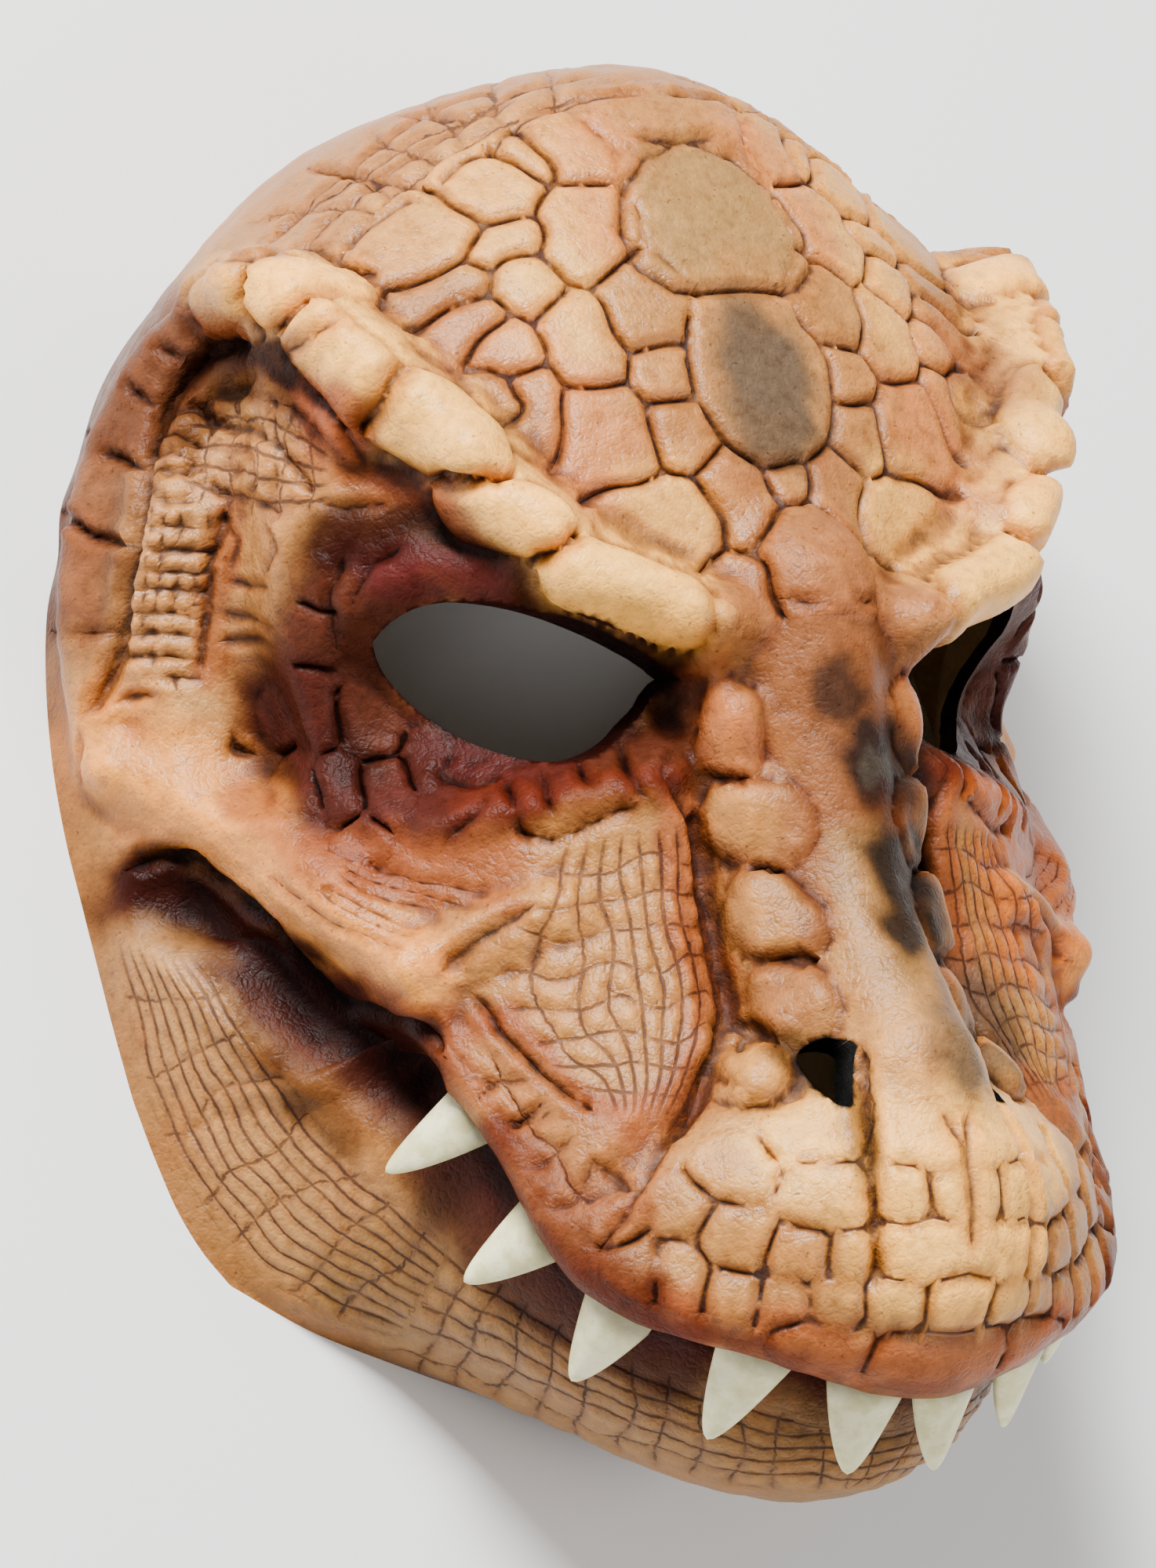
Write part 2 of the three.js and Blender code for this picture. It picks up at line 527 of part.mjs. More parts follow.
// A tooth: rings that shrink from the root to a point, bent towards its tip
const TOOTH_RINGS = [0, 0.3, 0.6, 0.85]; // places of the rings, as shares of the length outside the lip
function toothMesh({ column, tip, width, depth }, side, grow) {
  const lip = pointOnBlock(UPPER_STATIONS, UPPER_STATIONS.length - 1, column);
  const gum = pointOnBlock(LOWER_STATIONS, 0, column);
  const nextLip = pointOnBlock(UPPER_STATIONS, UPPER_STATIONS.length - 1, column - 0.1);
  const root = middle(lip, gum);
  const axis = unit(subtract(tip, root));
  const length = distance(tip, root) + 2 * grow;
  const alongLip = unit(subtract(nextLip, lip));
  const sideways = unit(along(alongLip, axis, -dot(alongLip, axis)));
  const thick = cross(axis, sideways);
  const rings = [-(TOOTH_ROOT + grow) / length, ...TOOTH_RINGS];
  const points = [];
  for (const share of rings) {
    const taper = share < 0 ? 1 : (1 - share) ** 0.8;
    for (let k = 0; k < TOOTH_SIDES; k += 1) {
      const angle = (2 * Math.PI * k) / TOOTH_SIDES;
      const across = (width / 2 * taper + grow) * Math.cos(angle);
      const through = (depth / 2 * taper + grow) * Math.sin(angle);
      points.push(along(along(along(root, axis, length * share), sideways, across), thick, through));
    }
  }
  points.push(along(root, axis, length));
  const triangles = [];
  const last = (rings.length - 1) * TOOTH_SIDES;
  for (let k = 0; k < TOOTH_SIDES; k += 1) {
    const next = (k + 1) % TOOTH_SIDES;
    for (let ring = 0; ring < rings.length - 1; ring += 1) {
      const [a, b] = [ring * TOOTH_SIDES + k, ring * TOOTH_SIDES + next];
      triangles.push([a, b, b + TOOTH_SIDES], [a, b + TOOTH_SIDES, a + TOOTH_SIDES]);
    }
    triangles.push([last + k, last + next, points.length - 1]);
    if (k > 0 && next > 0) triangles.push([0, next, k]);
  }
  const mirrored = points.map(([x, y, z]) => [side * x, y, z]);
  return { points: mirrored, triangles: side > 0 ? triangles : triangles.map(([a, b, c]) => [a, c, b]) };
}

const group = new THREE.Group();
let skin = solidOf(shellMesh());
for (const side of [1, -1]) {
  skin = skin.subtract(eyeCut(side)).subtract(nostrilCut(side));
  TEETH.forEach((tooth, index) => {
    skin = skin.subtract(solidOf(toothMesh(tooth, side, SEAT_GAP)));
    const solid = solidOf(toothMesh(tooth, side, 0));
    const finish = new THREE.MeshStandardMaterial({ color: TOOTH_COLOUR, roughness: 0.45, metalness: 0 });
    const mesh = new THREE.Mesh(geometryOf(solid), finish);
    mesh.name = `tooth_${side > 0 ? 'right' : 'left'}_${index + 1}`;
    group.add(mesh);
  });
}
const skinMesh = new THREE.Mesh(geometryOf(skin), SKIN_FINISH);
skinMesh.name = 'skin';
group.add(skinMesh);

group.position.y = CENTRE_SHIFT;

export default group;
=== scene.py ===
# %% [markdown]
# # A reptile half mask of cast latex
#
# The real thing is one thin sheet of latex, slushed into a plaster mould and peeled out again, with ten
# hard teeth pushed into its lip. It is carved all over: plates on the forehead, knobs along the brow, a
# woven cheek and a boxy muzzle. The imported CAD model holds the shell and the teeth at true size. This
# lesson lays the finer carving and the paint over the same shell.

# %% Load the frame
import math

import bmesh
import bpy
import numpy as np
from mathutils import Matrix, Vector
from mathutils.bvhtree import BVHTree
from mathutils.kdtree import KDTree


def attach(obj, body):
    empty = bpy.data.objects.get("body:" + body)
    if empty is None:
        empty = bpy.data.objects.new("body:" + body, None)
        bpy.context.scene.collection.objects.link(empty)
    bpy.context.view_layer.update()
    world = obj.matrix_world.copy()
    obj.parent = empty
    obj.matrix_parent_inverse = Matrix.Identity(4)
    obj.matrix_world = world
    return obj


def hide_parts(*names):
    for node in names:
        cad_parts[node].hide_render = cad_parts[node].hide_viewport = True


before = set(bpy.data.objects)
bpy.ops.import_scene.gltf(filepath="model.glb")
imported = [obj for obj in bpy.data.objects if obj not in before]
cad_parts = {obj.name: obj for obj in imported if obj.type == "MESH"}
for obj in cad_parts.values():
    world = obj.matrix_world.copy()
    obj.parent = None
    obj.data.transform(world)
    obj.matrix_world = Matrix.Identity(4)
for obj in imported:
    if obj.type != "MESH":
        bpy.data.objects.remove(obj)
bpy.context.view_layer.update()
MM = 0.001
CENTRE_SHIFT = 4.04  # mm along Y between the shell's own tables and the frame
print("nodes in the frame:", len(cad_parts))

# %% [markdown]
# ## The photograph's camera
#
# The mask was photographed from its own right, a little from the chin's side, through a long lens. One
# matrix turns the mask's axes into the picture's: right, up and towards the camera. With it a place in the
# picture can be named in pixels and found again on the skin, which is how the scales below get their places.

# %% Camera numbers
PHOTO_WIDTH = 1474
PHOTO_HEIGHT = 2000
PHOTO_SCALE = 8.0  # pixels to the millimetre at the cheeks
TURN = math.radians(33)  # how far the face is turned to the left
TILT = math.radians(-20)  # how far it leans back
ROLL = math.radians(1)
DISTANCE = 3000.0  # mm
CHEEK_DEPTH = 80.0  # mm in front of the origin, where PHOTO_SCALE holds
BRIDGE = np.array([0.0, -3.0, 94.0])  # the bridge of the snout, in the shell's millimetres
BRIDGE_PIXEL = (1065, 870)
FOCAL = PHOTO_SCALE * (DISTANCE - CHEEK_DEPTH)  # pixels


def picture_axes():
    """Rows: the picture's right, up and towards-camera directions, in the mask's axes."""
    right, up, back = np.eye(3)
    ex = math.cos(TURN) * right - math.sin(TURN) * back
    facing = math.sin(TURN) * right + math.cos(TURN) * back
    ey = math.cos(TILT) * up + math.sin(TILT) * facing
    ez = math.cos(TILT) * facing - math.sin(TILT) * up
    turned = np.stack([ex, ey, ez], 1)
    cosine, sine = math.cos(ROLL), math.sin(ROLL)
    return np.array([[cosine, -sine, 0], [sine, cosine, 0], [0, 0, 1]]) @ turned


VIEW = picture_axes()
bridge_in_view = VIEW @ BRIDGE
bridge_depth = DISTANCE - bridge_in_view[2]
OFFSET = np.array([
    (BRIDGE_PIXEL[0] - PHOTO_WIDTH / 2) * bridge_depth / FOCAL - bridge_in_view[0],
    -(BRIDGE_PIXEL[1] - PHOTO_HEIGHT / 2) * bridge_depth / FOCAL - bridge_in_view[1],
])
CAMERA_PLACE = VIEW.T @ np.array([-OFFSET[0], -OFFSET[1], DISTANCE])


def to_pixels(points):
    """Where points of the shell appear in the photograph."""
    seen = points @ VIEW.T
    depth = DISTANCE - seen[..., 2]
    x = PHOTO_WIDTH / 2 + (seen[..., 0] + OFFSET[0]) * FOCAL / depth
    y = PHOTO_HEIGHT / 2 - (seen[..., 1] + OFFSET[1]) * FOCAL / depth
    return np.stack([x, y], -1)


print("camera looks along", np.round(-VIEW[2], 3))

# %% [markdown]
# ## The shell
#
# The same rows of stations as in the CAD model, each from the rim to the middle of the face, carry a
# smooth loft. A mask maker would call this the rough block-in: the head's planes without any skin on them.
# Here the loft is taken more than five times finer than in the CAD model, so that the carving has vertices
# to stand on.

# %% Stations
UPPER_STATIONS = np.array([
    [[72.5, 70, 0], [63.5, 85.5, 0], [51, 98.5, 0], [36, 108.5, 0], [18, 114.5, 0], [0, 116, 0]],
    [[76.5, 63.5, 0], [72.5, 80, 20], [59.5, 97, 32], [43, 109.5, 40], [21, 116, 46], [0, 117, 51]],
    [[79, 55, 0], [78, 70, 26], [65.5, 87, 47], [44, 99, 62], [22, 107, 72], [0, 110, 75.5]],
    [[83, 46, 0], [83, 57, 30], [68.5, 73, 59.5], [43, 83, 75], [21, 87.5, 83.5], [0, 88.5, 86.5]],
    [[86, 34, 0], [85, 43, 32], [70, 52, 64], [44, 60, 82], [21, 62, 89.5], [0, 63, 91.5]],
    [[88, 20, 0], [82, 26, 28], [69, 30, 60], [44, 36, 83], [21, 38, 91], [0, 38, 93.5]],
    [[88.5, 7, 0], [77.5, 9, 25], [64.5, 9, 52], [43, 10, 77], [20, 11, 88], [0, 11, 93]],
    [[88, -5, 0], [78, -6, 23], [63, -9, 50], [41, -13, 72], [20, -14, 84], [0, -13, 88]],
    [[87.5, -15, 0], [81, -18, 24], [63, -24, 50], [41, -35, 70], [20, -37, 80], [0, -37, 86]],
    [[87, -25, 0], [79, -29, 21], [61, -36, 49], [45, -57, 69], [22, -58, 80], [0, -61, 92]],
    [[86.5, -32, 0], [77, -36, 20], [60, -45, 50], [49, -75, 67], [27, -83, 87], [0, -85, 101.5]],
    [[86, -38, 0], [75, -41, 19], [60, -50, 50], [50, -87, 63.5], [27, -101, 82], [0, -107, 92.5]],
    [[85.5, -41, 0], [74, -44, 18], [59, -54, 50], [48.5, -92, 60], [29, -107, 72.5], [0, -117, 75]],
])
LOWER_STATIONS = np.array([
    [[85, -44, 0], [73, -46, 16], [55, -57, 43], [43.5, -91, 53], [25, -104, 66], [0, -112, 68]],
    [[84, -49, 0], [73, -55, 11], [58, -68, 28], [42, -97, 45], [23, -111, 59], [0, -117, 61]],
    [[82, -57, 0], [70, -66, 7], [56, -79, 18], [39, -102, 34], [21, -118, 46], [0, -124, 50]],
    [[79, -64, 0], [66, -74, 4], [51, -84, 9], [32, -100, 17], [16, -113, 25], [0, -118, 28]],
    [[75, -70, 0], [62, -78, 0], [48, -84, 0], [32, -90, 0], [16, -95, 0], [0, -98, 0]],
])
FINE_STEP = 0.92  # mm between vertices of the face
JAW_STEP = 1.3  # mm between the rows under the lip
LIP_ROWS = 5  # rows over the rolled edge of the lip
WALL = 3.2  # mm, the planned thickness of the latex
RIM_FADE = 10.0  # height over the rim in which the carving dies away

# %% Loft through the stations
def spline_weights(count, places):
    """Weights of a Catmull-Rom spline through count stations, padded by one at each end."""
    weights = np.zeros((len(places), count + 2))
    cells = np.minimum(np.floor(places).astype(int), count - 2)
    t = places - cells
    rows = np.arange(len(places))
    weights[rows, cells] = (-t + 2 * t ** 2 - t ** 3) / 2
    weights[rows, cells + 1] = (2 - 5 * t ** 2 + 3 * t ** 3) / 2
    weights[rows, cells + 2] = (t + 4 * t ** 2 - 3 * t ** 3) / 2
    weights[rows, cells + 3] = (t ** 3 - t ** 2) / 2
    return weights


def loft_block(block, row_places, column_places):
    """Points of a block of stations: reflected past its ends, mirrored in the middle of the face."""
    mirrored = block[:, -2:-1] * [-1, 1, 1]
    wide = np.concatenate([2 * block[:, :1] - block[:, 1:2], block, mirrored], 1)
    tall = np.concatenate([2 * wide[:1] - wide[1:2], wide, 2 * wide[-1:] - wide[-2:-1]], 0)
    by_row = spline_weights(len(block), row_places)
    by_column = spline_weights(block.shape[1], column_places)
    return np.einsum("vr,uc,rck->vuk", by_row, by_column, tall)


def even_places(lengths, step):
    """Places along the stations, spread evenly by the lengths between them."""
    reach = np.concatenate([[0], np.cumsum(lengths)])
    pieces = 2 * round(reach[-1] / step / 2)
    return np.interp(np.linspace(0, reach[-1], pieces + 1), reach, np.arange(len(reach)))


def row_lengths(block):
    """Mean distance between each two neighbouring rows of stations."""
    return np.linalg.norm(np.diff(block, axis=0), axis=-1).mean(1)


# %% The grid
all_stations = np.concatenate([UPPER_STATIONS, LOWER_STATIONS])
column_lengths = np.linalg.norm(np.diff(all_stations, axis=1), axis=-1).mean(0)
column_places = even_places(column_lengths, FINE_STEP)
upper = loft_block(UPPER_STATIONS, even_places(row_lengths(UPPER_STATIONS), FINE_STEP), column_places)
lower = loft_block(LOWER_STATIONS, even_places(row_lengths(LOWER_STATIONS), JAW_STEP), column_places)
lip_shares = np.linspace(0, 1, LIP_ROWS + 2)[1:-1, None, None]
lip = upper[-1] * (1 - lip_shares) + lower[0] * lip_shares
right_half = np.concatenate([upper, lip, lower])
LOFT = np.concatenate([right_half, right_half[:, -2::-1] * [-1, 1, 1]], 1)
ROWS, COLUMNS = LOFT.shape[:2]
LIP_ROW = len(upper) - 1
JAW_ROW = LIP_ROW + LIP_ROWS + 1
print("grid of", ROWS, "by", COLUMNS, "=", ROWS * COLUMNS, "vertices")

# %% [markdown]
# ## Swellings and hollows
#
# Over the block-in come the big forms, nearly the same as the CAD model's: the brow arch with its five
# knobs, the rolled band of the rim, the cheekbone, the eye socket, the hollow of the jaw and the ridge of the
# snout. Each one follows a path and dies away smoothly, like clay pressed on with a thumb.

# %% Forms
FORMS = [
    (6, 11, [[18, 8, 88], [32, 16, 85], [46, 31, 82], [54, 47, 78], [62, 62, 71], [66, 75, 60]]),  # brow arch
    (4, 9, [[67, 77, 57], [69, 80, 45], [75, 74, 32], [81, 64, 23], [85, 50, 17], [88, 16, 11]]),  # rim band
    (6, 9, [[19, 8, 88], [28, 14, 86], [38, 18, 83]]),  # first brow knob
    (5.5, 9.5, [[42, 27, 83], [50, 38, 80]]),  # second
    (3.5, 9, [[52, 44, 80], [57, 52, 76]]),  # third
    (4.5, 10, [[62, 52, 70], [61, 61, 73], [65, 70, 65]]),  # fourth
    (3, 8.5, [[64, 79, 61], [69, 82, 47]]),  # fifth
    (2, 8, [[64, 49, 68]]),  # the low end of the fourth
    (3, 7, [[47, 21, 78], [59, 26, 72], [68, 23, 63]]),  # upper lid
    (-10, 19, [[31, 0, 80], [48, 1, 73], [65, 5, 60]]),  # eye socket
    (-8, 14, [[75, 66, 46], [79, 47, 48], [78, 28, 38], [73, 8, 35]]),  # temple
    (3, 8, [[77, 49, 54]]),  # temple mound
    (4.8, 9.5, [[85, 12, 15], [81, 3, 25], [75, -6, 37], [70, -18, 43], [63, -30, 46.5], [60, -38, 48.5]]),
    (1, 8, [[62, -33, 50], [59, -40, 50]]),  # cheek lobe
    (3, 7, [[60, -34, 52], [51, -32, 62], [44, -31, 69]]),  # cheek fold
    (-10, 12, [[84, -10, 19], [77, -24, 27], [70, -38, 33], [61, -51, 40]]),  # jaw hollow
    (3.5, 7, [[25, -11, 83], [33, -13, 79], [41, -13, 74], [50, -13, 68], [60, -13, 60]]),  # lower lid
    (-4, 6.5, [[24, 2, 86], [22, -11, 84], [21, -22, 82], [22, -40, 79], [23, -56, 80]]),  # snout groove
    (-2.5, 6, [[24, -59, 81], [34, -68, 78], [48, -78, 71]]),  # muzzle groove
    (8, 17, [[0, 14, 93], [0, -10, 89], [0, -40, 87], [0, -66, 94]]),  # snout ridge
    (3, 9, [[17, -6, 86]]),  # flank knobs, from the eye down
    (2.6, 9, [[16, -20, 84]]),
    (3, 9, [[15, -36, 82], [15, -44, 82]]),
    (2.6, 8, [[14, -55, 85]]),
    (2.5, 6, [[21, -61, 84], [26, -67, 84]]),  # nostril flap
    (2, 8, [[61, -50, 51], [58, -70, 56], [50, -88, 63], [39, -100, 71], [27, -107, 77], [0, -115, 80]]),
]
NORMAL_SPAN = 5  # vertices to each side over which the loft's outward direction is taken
FINE_SPAN = 2  # the same for the direction in which the carving stands

# %% Soft steps, halves and distances
def smooth(value, low=0.0, high=1.0):
    """A soft step from 0 at low to 1 at high."""
    t = np.clip((value - low) / (high - low), 0, 1)
    return t * t * (3 - 2 * t)


def unit(vectors):
    """The vectors at length 1."""
    return vectors / np.maximum(np.linalg.norm(vectors, axis=-1, keepdims=True), 1e-9)


def half_sign(points):
    """What mirrors the left half onto the right one, and leaves the right one as it is."""
    return np.where(points[..., :1] < 0, [-1, 1, 1], [1, 1, 1])


def fold(points):
    """The same points on the right half."""
    return points * half_sign(points)


def nearest_on_path(points, path):
    """Distance of points to a path of straight steps, the nearest place on it, and how far along that is."""
    path = np.asarray(path, float)
    if len(path) == 1:
        path = np.repeat(path, 2, 0)
    best = np.full(points.shape[:-1], np.inf)
    place = np.zeros_like(points)
    reached = np.zeros(points.shape[:-1])
    travelled = 0.0
    for start, end in zip(path[:-1], path[1:]):
        step = end - start
        length = np.linalg.norm(step)
        share = np.clip((points - start) @ step / max(length ** 2, 1e-9), 0, 1)
        candidate = start + share[..., None] * step
        gap = np.linalg.norm(points - candidate, axis=-1)
        nearer = gap < best
        best = np.where(nearer, gap, best)
        place = np.where(nearer[..., None], candidate, place)
        reached = np.where(nearer, travelled + share * length, reached)
        travelled += length
    return best, place, reached, travelled


def grid_normals(grid, span):
    """Outward directions of a grid, taken over span vertices to each side."""
    rows = np.arange(ROWS)
    columns = np.arange(COLUMNS)
    down = grid[np.minimum(rows + span, ROWS - 1)] - grid[np.maximum(rows - span, 0)]
    after = np.minimum(columns + span, COLUMNS - 1)
    before = np.maximum(columns - span, 0)
    across = grid[:, after] - grid[:, before]
    normals = np.cross(across, down)
    normals[..., 2] *= np.clip(grid[..., 2] / RIM_FADE, 0, 1)
    return unit(normals)


# %% Raise the forms
outward = grid_normals(LOFT, NORMAL_SPAN)
folded_loft = fold(LOFT)
form_height = np.zeros((ROWS, COLUMNS))
for height, reach, path in FORMS:
    q = np.minimum(nearest_on_path(folded_loft, path)[0] / reach, 1)
    form_height += height * (1 - q * q) ** 2
rim_fade = smooth(LOFT[..., 2] / RIM_FADE)
form_height *= rim_fade
BASE = LOFT + outward * form_height[..., None]
folded_base = fold(BASE)
PIXELS = to_pixels(folded_base * [-1, 1, 1])  # where each vertex, or its mirror image, lies in the photograph
fine_normals = grid_normals(BASE, FINE_SPAN)
print("forms stand", round(form_height.max(), 1), "mm high and", round(-form_height.min(), 1), "mm deep")

# %% [markdown]
# ## From a pixel to the skin
#
# A sculptor marks the clay by eye from the reference. The ray through a pixel does the same here: it runs
# from the camera until it meets the shell. Every place is then folded over onto the right half, at +X, since
# the mask is carved alike on both sides.

# %% Rays through the picture
PATH_STEP = 30  # pixels, the longest step of a path over the skin
NOISE_WAVES = 7
grid_index = np.arange(ROWS * COLUMNS).reshape(ROWS, COLUMNS)
corners = np.stack([
    grid_index[:-1, :-1], grid_index[1:, :-1], grid_index[1:, 1:], grid_index[:-1, 1:],
], -1).reshape(-1, 4)
base_tree = BVHTree.FromPolygons(BASE.reshape(-1, 3).tolist(), corners.tolist())
flat_base = folded_base.reshape(-1, 3)
flat_pixels = PIXELS.reshape(-1, 2)


def on_skin(x, y):
    """The place on the right half of the shell that the photograph shows at a pixel."""
    ray = VIEW.T @ np.array([(x - PHOTO_WIDTH / 2) / FOCAL, -(y - PHOTO_HEIGHT / 2) / FOCAL, -1.0])
    hit = base_tree.ray_cast(Vector(CAMERA_PLACE), Vector(ray))[0]
    if hit is None:
        gaps = np.hypot(flat_pixels[:, 0] - x, flat_pixels[:, 1] - y)
        return flat_base[np.argmin(gaps)]
    return np.array([abs(hit.x), hit.y, hit.z])


def skin_path(pixels):
    """A path over the skin through pixels, with the steps between them short enough to follow it."""
    pixels = np.asarray(pixels, float)
    points = [on_skin(*pixels[0])]
    for start, end in zip(pixels[:-1], pixels[1:]):
        steps = max(1, round(math.dist(start, end) / PATH_STEP))
        points.extend(on_skin(*(start + (end - start) * k / steps)) for k in range(1, steps + 1))
    return np.array(points)


# %% Even points, nearest points and noise
def evenly_along(path, count):
    """Points of a path of straight steps, spaced evenly along it."""
    path = np.asarray(path, float)
    reach = np.concatenate([[0], np.cumsum(np.linalg.norm(np.diff(path, axis=0), axis=1))])
    places = np.linspace(0, reach[-1], count)
    return np.stack([np.interp(places, reach, line) for line in path.T], 1)


def kd_tree(points):
    """A tree that quickly finds the nearest of many points."""
    tree = KDTree(len(points))
    for index, point in enumerate(points):
        tree.insert(point, index)
    tree.balance()
    return tree


def soft_noise(points, wavelength, seed):
    """Smooth noise of about -1 to 1: waves of 0.7 to 1.5 wavelengths in fixed random directions."""
    random = np.random.default_rng(seed)
    total = np.zeros(points.shape[:-1])
    for _ in range(NOISE_WAVES):
        direction = unit(random.normal(size=3))
        turn = random.uniform(0, 2 * math.pi)
        length = wavelength * random.uniform(0.7, 1.5)
        total += np.sin(points @ direction * (2 * math.pi / length) + turn)
    return total / (NOISE_WAVES / 2)


def waver(amount, wavelength, seeds):
    """How far smooth noise shifts each vertex of the shell, with one number for each seed."""
    return amount * np.stack([soft_noise(BASE, wavelength, seed) for seed in seeds], -1)


print("the bridge lies at", np.round(on_skin(*BRIDGE_PIXEL), 1))

# %% [markdown]
# ## Plates, knobs and box scales
#
# The forehead is paved with flat plates, the brow with fat knobs, and the muzzle with square scales. All
# of them meet in narrow carved grooves. Each scale is a short segment with a radius; the grooves run where
# two scales are equally near. That one rule gives the cracked-mud pattern of real reptile skin without
# drawing a single outline.

# %% Scales, in pixels: both ends of the middle line and the radius
FOREHEAD = [
    (800, 150, 868, 140, 26), (892, 268, 922, 286, 95), (978, 468, 982, 498, 104), (1025, 690, 1035, 715, 52),
    (700, 178, 735, 205, 26), (668, 195, 680, 205, 24), (742, 280, 745, 315, 46), (812, 378, 815, 400, 44),
    (738, 420, 745, 445, 48), (668, 362, 675, 375, 38), (845, 470, 850, 480, 30), (765, 545, 775, 575, 56),
    (868, 545, 872, 558, 30), (800, 655, 880, 668, 40), (935, 620, 950, 665, 30), (943, 740, 948, 768, 24),
    (680, 500, 690, 540, 36), (640, 430, 662, 445, 34), (575, 425, 620, 405, 28), (540, 390, 600, 355, 22),
    (610, 240, 645, 240, 42), (620, 325, 665, 298, 20), (525, 315, 550, 295, 48), (1000, 612, 1004, 618, 12),
    (640, 500, 655, 520, 20),
]
BROW = [
    (272, 388, 290, 372, 38), (345, 372, 440, 366, 42), (400, 435, 462, 495, 50), (530, 535, 600, 552, 66),
    (590, 648, 690, 668, 48), (735, 735, 850, 785, 56),
]
FLANK = [
    (922, 910, 928, 955, 42), (935, 1045, 985, 1055, 50), (965, 1155, 1000, 1185, 50),
    (1000, 1262, 1022, 1290, 46), (925, 1345, 975, 1365, 32),
]
MUZZLE = [
    (1020, 1436, 1075, 1438, 36), (1140, 1440, 1185, 1446, 36), (1030, 1528, 1080, 1528, 32),
    (1135, 1520, 1162, 1524, 28), (1210, 1520, 1220, 1530, 22), (1005, 1600, 1035, 1602, 26),
    (1078, 1602, 1098, 1604, 22), (1145, 1594, 1212, 1598, 28), (985, 1662, 1008, 1666, 22),
    (1052, 1664, 1085, 1666, 22), (1125, 1668, 1160, 1668, 22), (1210, 1664, 1240, 1668, 26),
    (1020, 1718, 1085, 1724, 26), (1140, 1738, 1220, 1745, 30), (930, 1488, 938, 1500, 40),
    (930, 1572, 944, 1582, 36), (925, 1646, 940, 1656, 28), (866, 1530, 874, 1550, 30),
    (866, 1622, 876, 1638, 30), (800, 1610, 812, 1622, 28), (780, 1560, 790, 1566, 18),
]
ORBIT = [
    (352, 905, 360, 930, 24), (398, 880, 408, 925, 28), (455, 905, 480, 940, 30), (372, 985, 385, 1015, 26),
    (425, 985, 440, 1020, 26), (490, 990, 500, 1030, 28), (535, 950, 545, 985, 22), (400, 800, 402, 830, 26),
    (450, 1072, 480, 1080, 20), (398, 735, 405, 755, 24),
]

# %% How the scales are cut: scales, rise of the middle, width of the rounded edge, groove depth, reach (mm)
SCALE_GROUPS = [
    (FOREHEAD, 0.7, 2.4, 1.0, 4.0),
    (BROW, 2.0, 5.0, 1.9, 1.5),
    (FLANK, 1.4, 4.5, 1.3, 1.4),
    (MUZZLE, 0.45, 1.3, 0.75, 2.5),
    (ORBIT, 0.5, 1.8, 0.8, 1.2),
]
MIDLINE_SNAP = 2.5  # a scale nearer than this to the middle of the face sits on it
GROOVE_WIDTH = 0.8  # mm
KNOB_EDGE = 3  # mm; a scale whose edge is rounder than this is a knob with soft grooves
KNOB_GROOVE_WIDTH = 1.25  # mm
SNAP = 0.53 * FINE_STEP  # a vertex nearer than this to a groove is drawn onto it
FAR = 99.0  # mm, a distance at which no groove is felt
OVAL_RADIUS = 90  # pixels; from this radius on, a scale keeps its own round outline
OVAL_FIRMNESS = 5  # how much harder than a common scale such an oval pushes at its neighbours
SCALE_WAVER = (0.55, 11, (1, 2, 3))  # how far outlines stray (mm), the wavelength (mm) and the seeds
LEAST_SLOPE = 0.05  # keeps the way to a groove finite where both scales lie in the same direction

# %% Find the nearest two scales of each vertex
warped = folded_base + waver(*SCALE_WAVER)
first_gap = np.full((ROWS, COLUMNS), FAR)
second_gap = np.full((ROWS, COLUMNS), FAR)
scale_number = np.zeros((ROWS, COLUMNS), int)
first_place = np.zeros((ROWS, COLUMNS, 3))
second_place = np.zeros((ROWS, COLUMNS, 3))
traits = [(0, 1, 0, 0, 1)]  # rise, edge, depth, reach and firmness; the first are those of bare skin
second_firmness = np.ones((ROWS, COLUMNS))
for scales, rise, edge, depth, reach in SCALE_GROUPS:
    for x0, y0, x1, y1, radius in scales:
        firmness = OVAL_FIRMNESS if radius >= OVAL_RADIUS else 1
        ends = np.array([on_skin(x0, y0), on_skin(x1, y1)])
        ends[ends[:, 0] < MIDLINE_SNAP, 0] = 0
        gap, place, _, _ = nearest_on_path(warped, ends)
        gap = gap - radius / PHOTO_SCALE
        gap = np.where(gap > reach, FAR, gap * firmness)
        number = len(traits)
        first_firmness = np.array(traits)[scale_number, 4]
        traits.append((rise, edge, depth, reach, firmness))
        closer = gap < first_gap
        between_them = (gap < second_gap) & ~closer
        pushed = np.where(closer[..., None], first_place, second_place)
        second_place = np.where(between_them[..., None], place, pushed)
        second_firmness = np.where(closer, first_firmness, np.where(between_them, firmness, second_firmness))
        second_gap = np.where(closer, first_gap, np.minimum(second_gap, gap))
        first_place = np.where(closer[..., None], place, first_place)
        first_gap = np.where(closer, gap, first_gap)
        scale_number = np.where(closer, number, scale_number)


